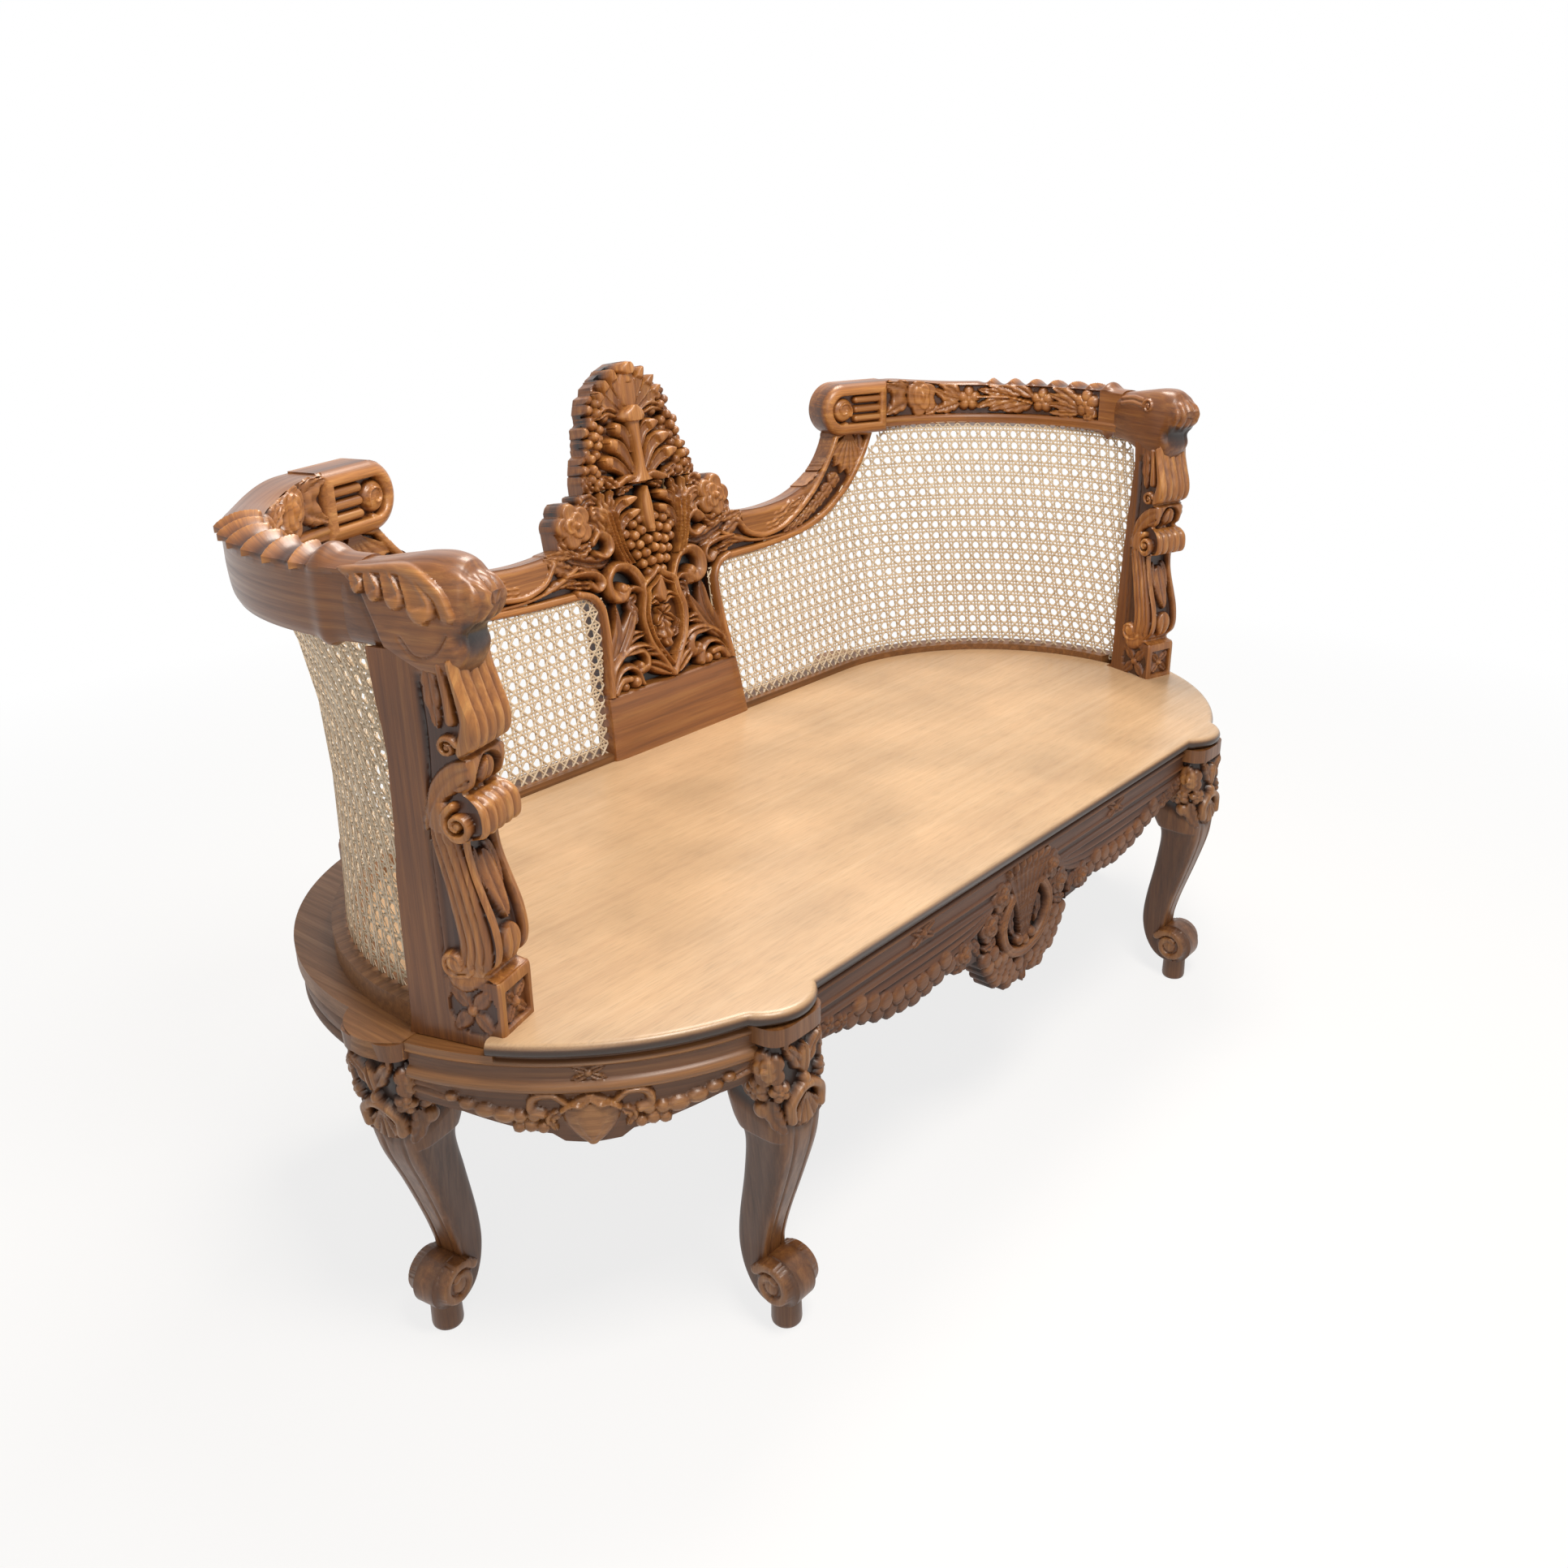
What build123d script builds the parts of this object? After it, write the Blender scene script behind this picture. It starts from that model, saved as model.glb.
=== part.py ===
from build123d import *
import os
from math import atan, cos, degrees, radians, sin, sqrt

os.makedirs("parts", exist_ok=True)

# A carved teak loveseat with a caned tub back, in millimetres.
# The origin is on the floor under the middle of the seat, +X runs along the seat and -Y is the front.

# Seat board and ledge
SEAT_HEIGHT = 420.0
BOARD_THICKNESS = 16.0
BOARD_LIP = 8.0
LEDGE_THICKNESS = 20.0
LEDGE_LIP = 4.0
BOARD_BEARING = 20.0

# Seat frame in plan: straight front and back between two rounded ends
END_CENTRE = 411.0
STRAIGHT_FACE = 346.0
END_RADIUS = 360.0
REAR_RADIUS = 340.0
RAIL_THICKNESS = 42.0
RAIL_HEIGHT = 62.0
BEAD_HEIGHT = 12.0
TORUS_HEIGHT = 32.0
COVE_DEPTH = 8.0
BEAD_INSET = 4.0

# Carved aprons under the front and front corner rails
APRON_THICKNESS = 26.0
FRONT_APRON_END = 14.0
FRONT_APRON_MIDDLE = 39.0
PENDANT_HALF_WIDTH = 95.0
PENDANT_SHOULDER = 78.0
PENDANT_ROUND = 18.0
PENDANT_TIP_HALF = 66.0
PENDANT_DROP = 128.0
CORNER_APRON_END = 8.0
CORNER_APRON_MIDDLE = 40.0
APRON_BROW_SHARE = 0.45
APRON_SAG = 4.0

# Cabriole legs
LEG_X = 484.0
END_LEG_TURN = 9.0
EAR_REACH = 373.0
EAR_RADIUS = 54.0
BLOCK_WIDTH = 80.0
BLOCK_DEPTH = 86.0
BLOCK_SHOULDER = 32.0
KNEE_SET = 6.0
KNEE_HEIGHT = 312.0
ANKLE_HEIGHT = 108.0
ANKLE_DEPTH = 45.0
ANKLE_WIDTH = 43.0
ANKLE_SET = 31.0
HEEL_SET = 37.0
FRONT_FOOT_SET = 28.0
END_FOOT_SET = 57.0
SCROLL_HEIGHT = 62.0
SCROLL_RADIUS = 31.0
SCROLL_WIDTH = 54.0
PEG_RADIUS = 18.0

# Tub: the cane stands on a sill and leans out to the top rail
TUB_CENTRE_X = 395.0
TUB_CENTRE_Y = -51.0
TUB_RADIUS = 319.0
SILL_INSIDE = 13.0
SILL_OUTSIDE = 23.0
SILL_HEIGHT = 26.0
CANE_THICKNESS = 4.0

# Cane drawn in between sill and rail: how far at each share of its height, deepest at an angle from the back
CANE_BELLY = ((0.0, -6.0), (0.3, 17.0), (0.65, 34.0), (1.0, 21.0))
CANE_BELLY_ANGLE = 55.0
CANE_BELLY_POST_SHARE = 0.2

# Openings that stand for the weave's holes
CANE_COLUMNS = 12
CANE_ROWS = 6
CANE_BAR = 14.0

# Top rail, volute and arm knuckle
RAIL_CENTRE_X = 440.0
RAIL_CENTRE_Y = 17.0
TOP_RAIL_RADIUS = 294.0
TOP_RAIL_THICKNESS = 42.0
ARM_BASE = 797.0
TOP_RAIL_HEIGHT = 87.0
RAIL_REBATE = 18.0
RAIL_LIP = 10.0
RAIL_CROWN = 12.0
CANE_SET = 6.0
VOLUTE_ANGLE = 70.0
VOLUTE_X = 452.0
VOLUTE_CLEARANCE = 7.0
VOLUTE_FRONT_Y = 313.0
VOLUTE_BACK_Y = 356.0
KNUCKLE_WIDTH = 58.0
KNUCKLE_NOSE_SET = 14.0
KNUCKLE_CHIN_SET = 22.0
KNUCKLE_NOSE_SHARE = 0.58
KNUCKLE_CREST_SHARE = 0.3
KNUCKLE_STEP = 4.0

# Arm post, standing square to the end of the top rail
POST_TURN = 18.0
POST_DEPTH = 115.0
POST_WIDTH = 56.0
PLINTH_HEIGHT = 74.0
POST_ROLL_HEIGHT = 650.0
POST_ROLL_RADIUS = 22.0
POST_ROLL_WIDTH = 64.0
POST_ROLL_SET = 1.0
POST_CURL_HEIGHT = 518.0
POST_CURL_RADIUS = 27.0
POST_CURL_PROUD = 4.0
POST_CURL_RISE = 10.0
POST_WAIST = 24.0
POST_SCROLL_SET = 19.0
POST_NECK = 17.0

# Splat and dipped back rail, in a plane that leans back
SPLAT_Y = 261.0
SPLAT_LEAN = 0.143
SPLAT_THICKNESS = 30.0
SHOE_TOP = 502.0
SHOE_HALF_WIDTH = 141.0
SHOE_TAPER = 8.0
PANEL_WAIST = 122.0
PANEL_WAIST_HEIGHT = 625.0
SHOULDER_HALF_WIDTH = 150.0
SHOULDER_BOTTOM = 650.0
SHOULDER_TOP = 726.0
CREST_SEAM = 785.0
CREST_HALF_WIDTH = 108.0
CREST_RISE = 166.0
CREST_BROW_HALF = 83.0
CREST_BROW_RISE = 73.0
CREST_TIP_HALF = 57.0
CREST_TIP_RISE = 136.0
DIP_LOW_X = 245.0
DIP_DEPTH = 12.0
DIP_TURN_X = 333.0
DIP_TURN_RISE = 8.0
DIP_END_X = 444.0

# Hidden joinery
BATTEN_WIDTH = 50.0
BATTEN_HEIGHT = 48.0
BATTEN_SPACING = 300.0
GLUE_BLOCK_LENGTH = 60.0
GLUE_BLOCK_DEPTH = 30.0
GLUE_BLOCK_HEIGHT = 36.0
DOWEL_RADIUS = 5.0
DOWEL_LENGTH = 50.0
SHOE_DOWEL_LENGTH = 30.0
DOWEL_CLEARANCE = 0.1
SCREW_RADIUS = 2.0
SCREW_HEAD_RADIUS = 4.0
SCREW_HEAD_HEIGHT = 2.6
SCREW_BITE = 9.0
SCREW_SPACING = 180.0
FIT_GAP = 0.2
RAIL_DOWEL_SHARES = (0.2, 0.48)
POST_DOWEL_SHARES = (0.25, 0.75)
ARM_DOWEL_SHARES = (0.25, 0.65)
SHOULDER_DOWEL_SHARES = (0.3, 0.7)
SEAM_DOWEL_SHARE = 0.55
SHOE_DOWEL_SHARE = 0.5
NECK_DOWEL_SETS = (8.0, 33.0)
SILL_SCREW_ANGLES = (18, 40, 62)
CUTTER = 3000.0

# Sizes worked out from the ones above
RAIL_TOP = SEAT_HEIGHT - BOARD_THICKNESS
LEDGE_BOTTOM = RAIL_TOP - LEDGE_THICKNESS
RAIL_BOTTOM = RAIL_TOP - RAIL_HEIGHT
SILL_TOP = RAIL_TOP + SILL_HEIGHT
BLOCK_HALF = BLOCK_WIDTH / 2
EAR_CENTRE = EAR_REACH - EAR_RADIUS
FRONT_FOOT_REACH = EAR_REACH - FRONT_FOOT_SET
END_FOOT_REACH = EAR_REACH - END_FOOT_SET
SPLAT_RAKE = atan(SPLAT_LEAN)
APRON_FACE = STRAIGHT_FACE - BEAD_INSET
SHOE_TOP_HALF = SHOE_HALF_WIDTH - SHOE_TAPER
CREST_HEIGHT = CREST_SEAM + CREST_RISE
CREST_BROW = (CREST_BROW_HALF, CREST_SEAM + CREST_BROW_RISE)
CREST_TIP = (CREST_TIP_HALF, CREST_SEAM + CREST_TIP_RISE)
TOP_RAIL_INSIDE = TOP_RAIL_RADIUS - TOP_RAIL_THICKNESS / 2
TOP_RAIL_OUTSIDE = TOP_RAIL_RADIUS + TOP_RAIL_THICKNESS / 2
ARM_HEIGHT = ARM_BASE + TOP_RAIL_HEIGHT
CANE_TOP = ARM_BASE + RAIL_REBATE
VOLUTE_RADIUS = (TOP_RAIL_HEIGHT - VOLUTE_CLEARANCE) / 2
VOLUTE_TIP_X = VOLUTE_X - VOLUTE_RADIUS


def upright_plane(x, y, angle):
    """Vertical plane through (x, y): its own x points along the angle and its own y points up."""
    turn = radians(angle)
    return Plane(
        origin=(x, y, 0),
        x_dir=(cos(turn), sin(turn), 0),
        z_dir=(sin(turn), -cos(turn), 0),
    )


def level_plane(upright, height):
    """Level plane at a height, with its own x along the upright plane's x."""
    return Plane(
        origin=upright.origin + Vector(0, 0, height),
        x_dir=upright.x_dir,
        z_dir=(0, 0, 1),
    )


def twin_of(piece):
    """The left-hand copy of a right-hand piece."""
    with BuildPart() as twin:
        mirror(piece.part, about=Plane.YZ)
    return twin


def save(piece, node):
    """Name a finished piece and write it."""
    piece.part.label = node
    export_step(piece.part, f"parts/{node}.step")


FRONT = upright_plane(0, 0, -90)
BACK = upright_plane(0, 0, 90)
FRONT_LEG = upright_plane(LEG_X, 0, -90)
REAR_LEG = upright_plane(LEG_X, 0, 90)
END_LEG = upright_plane(END_CENTRE, 0, -END_LEG_TURN)
END_AXIS = Axis((END_CENTRE, 0, 0), (0, 0, 1))
TOP_AXIS = Axis((RAIL_CENTRE_X, RAIL_CENTRE_Y, 0), (0, 0, 1))

# The arm post stands under the end of the top rail and faces the way the rail points there.
post_turn = radians(POST_TURN)
POST_FACING = Vector(-sin(post_turn), -cos(post_turn), 0)
RAIL_END = Vector(
    RAIL_CENTRE_X + TOP_RAIL_RADIUS * cos(post_turn),
    RAIL_CENTRE_Y - TOP_RAIL_RADIUS * sin(post_turn),
    0,
)
POST_FRONT = RAIL_END + POST_FACING * POST_DEPTH
POST = upright_plane(POST_FRONT.X, POST_FRONT.Y, -90 - POST_TURN)
POST_BACK = Plane(origin=RAIL_END, x_dir=-POST.z_dir, z_dir=-POST_FACING)

# The splat's front face: its own x runs along the seat and its own y climbs the lean from the ledge.
SPLAT = Plane(
    origin=(0, SPLAT_Y, RAIL_TOP),
    x_dir=(1, 0, 0),
    z_dir=(0, -cos(SPLAT_RAKE), sin(SPLAT_RAKE)),
)


def climb(height):
    """Distance up the leaning splat at which a height above the floor is reached."""
    return (height - RAIL_TOP) / cos(SPLAT_RAKE)


def lean_y(height):
    """Front face of the splat at a height above the floor."""
    return SPLAT_Y + SPLAT_LEAN * (height - RAIL_TOP)


def collar_edge(reach):
    """Corner of the joint between the top rail and the volute, at a reach from the rail's centre."""
    turn = radians(VOLUTE_ANGLE)
    return (RAIL_CENTRE_X + reach * cos(turn), RAIL_CENTRE_Y + reach * sin(turn))


def volute_back(x):
    """Back face of the volute, which slants from the rail's outside to its own rounded end."""
    outer_x, outer_y = collar_edge(TOP_RAIL_OUTSIDE)
    share = (x - VOLUTE_TIP_X) / (outer_x - VOLUTE_TIP_X)
    return VOLUTE_BACK_Y + (outer_y - VOLUTE_BACK_Y) * share


# Dowels, set out first so that every joint's holes come from the same places.


def ring_reach(radius, offset):
    """Reach of the rail's middle on a rounded end, at a sideways offset from the end's centre."""
    middle = radius - RAIL_THICKNESS / 2
    return sqrt(middle**2 - offset**2)


def frame_dowel_planes():
    """Right-hand dowels between rails and legs: each plane is the joint, its normal the dowel."""
    straight = STRAIGHT_FACE - RAIL_THICKNESS / 2
    corner = LEG_X + BLOCK_HALF - END_CENTRE
    joints = [
        (FRONT_LEG.offset(BLOCK_HALF), straight),
        (FRONT_LEG.offset(-BLOCK_HALF), ring_reach(END_RADIUS, corner)),
        (REAR_LEG.offset(-BLOCK_HALF), straight),
        (REAR_LEG.offset(BLOCK_HALF), ring_reach(REAR_RADIUS, corner)),
        (END_LEG.offset(BLOCK_HALF), ring_reach(END_RADIUS, BLOCK_HALF)),
        (END_LEG.offset(-BLOCK_HALF), ring_reach(REAR_RADIUS, BLOCK_HALF)),
    ]
    planes = []
    for joint, reach in joints:
        for share in RAIL_DOWEL_SHARES:
            level = Vector(0, 0, RAIL_BOTTOM + RAIL_HEIGHT * share)
            spot = joint.origin + joint.x_dir * reach + level
            planes.append(Plane(origin=spot, z_dir=joint.z_dir))
    return planes


def back_dowel_planes():
    """Right-hand dowels in the back: post, knuckle, top rail, volute, dip rail and splat."""
    planes = []
    for share in POST_DOWEL_SHARES:
        under_post = POST_FRONT - POST_FACING * (POST_DEPTH * share)
        for height in (RAIL_TOP, ARM_BASE):
            planes.append(Plane(origin=under_post + Vector(0, 0, height), z_dir=(0, 0, 1)))
    rail_height = ARM_HEIGHT - CANE_TOP
    volute_joint = upright_plane(RAIL_CENTRE_X, RAIL_CENTRE_Y, VOLUTE_ANGLE)
    for share in ARM_DOWEL_SHARES:
        level = Vector(0, 0, CANE_TOP + rail_height * share)
        planes.append(Plane(origin=RAIL_END + level, z_dir=POST_FACING))
        spot = volute_joint.origin + volute_joint.x_dir * TOP_RAIL_RADIUS + level
        planes.append(Plane(origin=spot, z_dir=volute_joint.z_dir))
    # The volute rests on the dip rail between the splat's face and its own back.
    for inset in NECK_DOWEL_SETS:
        neck_x = VOLUTE_X + inset
        neck_y = (lean_y(ARM_BASE) + volute_back(neck_x)) / 2
        planes.append(Plane(origin=(neck_x, neck_y, ARM_BASE), z_dir=(0, 0, 1)))
    depth = SPLAT.offset(-SPLAT_THICKNESS / 2)
    shoulder = SHOULDER_TOP - SHOULDER_BOTTOM
    for share in SHOULDER_DOWEL_SHARES:
        rise = climb(SHOULDER_BOTTOM + shoulder * share)
        spot = depth.from_local_coords(Vector(SHOULDER_HALF_WIDTH, rise, 0))
        planes.append(Plane(origin=spot, z_dir=(1, 0, 0)))
    for seam, half_width in ((SHOE_TOP, SHOE_TOP_HALF), (CREST_SEAM, CREST_HALF_WIDTH)):
        spot = depth.from_local_coords(Vector(half_width * SEAM_DOWEL_SHARE, climb(seam), 0))
        planes.append(Plane(origin=spot, z_dir=SPLAT.y_dir))
    return planes


def dowels(planes, length, spare):
    """A cylinder at each plane and at its mirror image, longer and wider by the spare room."""
    with BuildPart() as pegs:
        for plane in planes:
            with BuildSketch(plane):
                Circle(DOWEL_RADIUS + spare)
            extrude(amount=length / 2 + spare, both=True)
        mirror(about=Plane.YZ)
    return pegs


shoe_dowel_y = SPLAT_Y + SPLAT_THICKNESS / 2
shoe_dowel_planes = [
    Plane(origin=(SHOE_HALF_WIDTH * SHOE_DOWEL_SHARE, shoe_dowel_y, RAIL_TOP), z_dir=(0, 0, 1)),
]
frame_dowels = dowels(frame_dowel_planes(), DOWEL_LENGTH, 0)
frame_dowel_holes = dowels(frame_dowel_planes(), DOWEL_LENGTH, DOWEL_CLEARANCE)
splat_dowels = dowels(back_dowel_planes(), DOWEL_LENGTH, 0)
splat_dowel_holes = dowels(back_dowel_planes(), DOWEL_LENGTH, DOWEL_CLEARANCE)
shoe_dowels = dowels(shoe_dowel_planes, SHOE_DOWEL_LENGTH, 0)
shoe_dowel_holes = dowels(shoe_dowel_planes, SHOE_DOWEL_LENGTH, DOWEL_CLEARANCE)

with BuildPart() as back_dowels:
    add(splat_dowels.part)
    add(shoe_dowels.part)

# Screws: up through the battens into the seat board, and up through the ledge into the sills.


def batten_screw_spots():
    """Places of the screws in the three battens, seen from above."""
    spots = []
    for column in (-1, 0, 1):
        for row in (-1, 0, 1):
            spots.append((column * BATTEN_SPACING, row * SCREW_SPACING))
    return spots


def sill_screw_spots():
    """Places of the right-hand sill's screws: two on the straight and three round the end."""
    middle = TUB_RADIUS + (SILL_OUTSIDE - SILL_INSIDE) / 2
    spots = []
    for x in (SHOE_HALF_WIDTH + SCREW_SPACING / 3, SHOE_HALF_WIDTH + SCREW_SPACING):
        spots.append((x, TUB_CENTRE_Y + middle))
    for angle in SILL_SCREW_ANGLES:
        turn = radians(angle)
        spots.append((TUB_CENTRE_X + middle * cos(turn), TUB_CENTRE_Y + middle * sin(turn)))
    return spots


def screws(spots, bottom, top, spare):
    """Countersunk screws standing head down at the spots, wider by the spare room."""
    with BuildPart() as pins:
        for x, y in spots:
            with BuildSketch(Plane(origin=(x, y, bottom))):
                Circle(SCREW_HEAD_RADIUS + spare)
            with BuildSketch(Plane(origin=(x, y, bottom + SCREW_HEAD_HEIGHT))):
                Circle(SCREW_RADIUS + spare)
            loft()
            with BuildSketch(Plane(origin=(x, y, bottom + SCREW_HEAD_HEIGHT))):
                Circle(SCREW_RADIUS + spare)
            extrude(amount=top + spare - bottom - SCREW_HEAD_HEIGHT)
    return pins


def both_sides(spots):
    """The spots and their mirror images."""
    return spots + [(-x, y) for x, y in spots]


BATTEN_BOTTOM = RAIL_TOP - BATTEN_HEIGHT
batten_screws = screws(batten_screw_spots(), BATTEN_BOTTOM, RAIL_TOP + SCREW_BITE, 0)
batten_screw_holes = screws(
    batten_screw_spots(), BATTEN_BOTTOM, RAIL_TOP + SCREW_BITE, DOWEL_CLEARANCE
)
sill_spots = both_sides(sill_screw_spots())
sill_screws = screws(sill_spots, LEDGE_BOTTOM, RAIL_TOP + SCREW_BITE, 0)
sill_screw_holes = screws(sill_spots, LEDGE_BOTTOM, RAIL_TOP + SCREW_BITE, DOWEL_CLEARANCE)

with BuildPart() as seat_screws:
    add(batten_screws.part)
    add(sill_screws.part)

save(frame_dowels, "frame_dowels")
save(back_dowels, "back_dowels")
save(seat_screws, "seat_screws")

# Seat rails


def rail_section(plane, face, top):
    """Moulded rail: a bead at the bottom, a torus above it and a cove under the seat."""
    bead_top = RAIL_BOTTOM + BEAD_HEIGHT
    torus_top = bead_top + TORUS_HEIGHT
    shoulder = min(top, torus_top)
    inset = face - BEAD_INSET
    cove = face - COVE_DEPTH
    with BuildSketch(plane) as section:
        with BuildLine():
            Polyline(
                (inset, RAIL_BOTTOM),
                (face - RAIL_THICKNESS, RAIL_BOTTOM),
                (face - RAIL_THICKNESS, top),
                (cove, top),
            )
            if top > torus_top:
                Line((cove, top), (cove, torus_top))
            ThreePointArc((cove, shoulder), (face, (bead_top + shoulder) / 2), (inset, bead_top))
            bead_middle = (face, RAIL_BOTTOM + BEAD_HEIGHT / 2)
            ThreePointArc((inset, bead_top), bead_middle, (inset, RAIL_BOTTOM))
        make_face()
    return section.sketch


FRONT_RAIL_HALF = LEG_X - BLOCK_HALF
with BuildPart() as front_rail:
    extrude(rail_section(FRONT, STRAIGHT_FACE, RAIL_TOP), amount=FRONT_RAIL_HALF, both=True)
    # The apron's lower edge swells from the legs to the pendant in the middle.
    apron_top = RAIL_BOTTOM + BEAD_HEIGHT
    apron_end = RAIL_BOTTOM - FRONT_APRON_END
    apron_low = RAIL_BOTTOM - FRONT_APRON_MIDDLE
    shoulder_low = RAIL_BOTTOM - PENDANT_SHOULDER
    pendant_low = RAIL_BOTTOM - PENDANT_DROP
    with BuildSketch(Plane(origin=(0, -APRON_FACE, 0), x_dir=(1, 0, 0), z_dir=(0, -1, 0))):
        with BuildLine():
            Spline(
                (FRONT_RAIL_HALF, apron_end),
                ((FRONT_RAIL_HALF + PENDANT_HALF_WIDTH) / 2, (apron_end + apron_low) / 2 - APRON_SAG),
                (PENDANT_HALF_WIDTH, apron_low),
                tangents=((-1, 0), (-1, 0.2)),
            )
            Line((PENDANT_HALF_WIDTH, apron_low), (PENDANT_HALF_WIDTH, shoulder_low + PENDANT_ROUND))
            Spline(
                (PENDANT_HALF_WIDTH, shoulder_low + PENDANT_ROUND),
                (PENDANT_TIP_HALF, shoulder_low),
                tangents=((0, -1), (-1, 0)),
            )
            Spline(
                (PENDANT_TIP_HALF, shoulder_low),
                (0, pendant_low),
                tangents=((0, -1), (-1, 0)),
            )
            Line((FRONT_RAIL_HALF, apron_end), (FRONT_RAIL_HALF, apron_top))
            Line((FRONT_RAIL_HALF, apron_top), (0, apron_top))
            Line((0, apron_top), (0, pendant_low))
        make_face()
        mirror(about=Plane.YZ)
    extrude(amount=-APRON_THICKNESS)
    add(frame_dowel_holes.part, mode=Mode.SUBTRACT)
save(front_rail, "front_rail")

with BuildPart() as back_rail:
    extrude(rail_section(BACK, STRAIGHT_FACE, LEDGE_BOTTOM), amount=FRONT_RAIL_HALF, both=True)
    add(frame_dowel_holes.part, mode=Mode.SUBTRACT)
save(back_rail, "back_rail")


def ring_angle(radius, offset):
    """Angle on a rounded end at which the rail's face crosses a sideways offset."""
    return degrees(atan(sqrt(radius**2 - offset**2) / offset))


# The corner apron hangs lowest half way between the front leg and the end leg.
CORNER_START = -ring_angle(END_RADIUS, LEG_X + BLOCK_HALF - END_CENTRE)
CORNER_END = -END_LEG_TURN - (90 - ring_angle(END_RADIUS, BLOCK_HALF))
CORNER_MIDDLE = (CORNER_START + CORNER_END) / 2
CORNER_SPAN = CORNER_END - CORNER_START
SPARE_TURN = 8.0
apron_half = END_RADIUS * sin(radians(CORNER_SPAN / 2 + SPARE_TURN))

with BuildPart() as corner_apron:
    start = upright_plane(END_CENTRE, 0, CORNER_START - SPARE_TURN)
    apron_outside = END_RADIUS - BEAD_INSET
    low = RAIL_BOTTOM - CORNER_APRON_MIDDLE
    with BuildSketch(start):
        with BuildLine():
            Polyline(
                (apron_outside, low),
                (apron_outside, RAIL_BOTTOM + BEAD_HEIGHT / 2),
                (apron_outside - APRON_THICKNESS, RAIL_BOTTOM + BEAD_HEIGHT / 2),
                (apron_outside - APRON_THICKNESS, low),
                close=True,
            )
        make_face()
    revolve(axis=END_AXIS, revolution_arc=CORNER_SPAN + 2 * SPARE_TURN)
    across = upright_plane(END_CENTRE, 0, CORNER_MIDDLE)
    with BuildSketch(Plane(origin=across.origin, x_dir=-across.z_dir, z_dir=across.x_dir)):
        end = RAIL_BOTTOM - CORNER_APRON_END
        with BuildLine():
            Spline(
                (-apron_half, end),
                (-apron_half * APRON_BROW_SHARE, (end + low) / 2 - APRON_SAG),
                (0, low),
                (apron_half * APRON_BROW_SHARE, (end + low) / 2 - APRON_SAG),
                (apron_half, end),
            )
            Polyline((apron_half, end), (apron_half, RAIL_TOP), (-apron_half, RAIL_TOP), (-apron_half, end))
        make_face()
    extrude(amount=CUTTER, mode=Mode.INTERSECT)

with BuildPart() as right_front_corner_rail:
    start = upright_plane(END_CENTRE, 0, CORNER_START - SPARE_TURN)
    section = rail_section(start, END_RADIUS, RAIL_TOP)
    revolve(section, axis=END_AXIS, revolution_arc=CORNER_SPAN + 2 * SPARE_TURN)
    add(corner_apron.part)
    split(bisect_by=FRONT_LEG.offset(-BLOCK_HALF), keep=Keep.BOTTOM)
    split(bisect_by=END_LEG.offset(BLOCK_HALF), keep=Keep.TOP)
    add(frame_dowel_holes.part, mode=Mode.SUBTRACT)
    add(splat_dowel_holes.part, mode=Mode.SUBTRACT)
save(right_front_corner_rail, "right_front_corner_rail")
save(twin_of(right_front_corner_rail), "left_front_corner_rail")

REAR_START = -END_LEG_TURN + 90 - ring_angle(REAR_RADIUS, BLOCK_HALF)
REAR_END = ring_angle(REAR_RADIUS, LEG_X + BLOCK_HALF - END_CENTRE)
with BuildPart() as right_rear_corner_rail:
    start = upright_plane(END_CENTRE, 0, REAR_START - SPARE_TURN)
    section = rail_section(start, REAR_RADIUS, LEDGE_BOTTOM)
    revolve(section, axis=END_AXIS, revolution_arc=REAR_END - REAR_START + 2 * SPARE_TURN)
    split(bisect_by=REAR_LEG.offset(BLOCK_HALF), keep=Keep.TOP)
    split(bisect_by=END_LEG.offset(-BLOCK_HALF), keep=Keep.BOTTOM)
    add(frame_dowel_holes.part, mode=Mode.SUBTRACT)
save(right_rear_corner_rail, "right_rear_corner_rail")
save(twin_of(right_rear_corner_rail), "left_rear_corner_rail")

# Legs


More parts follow.
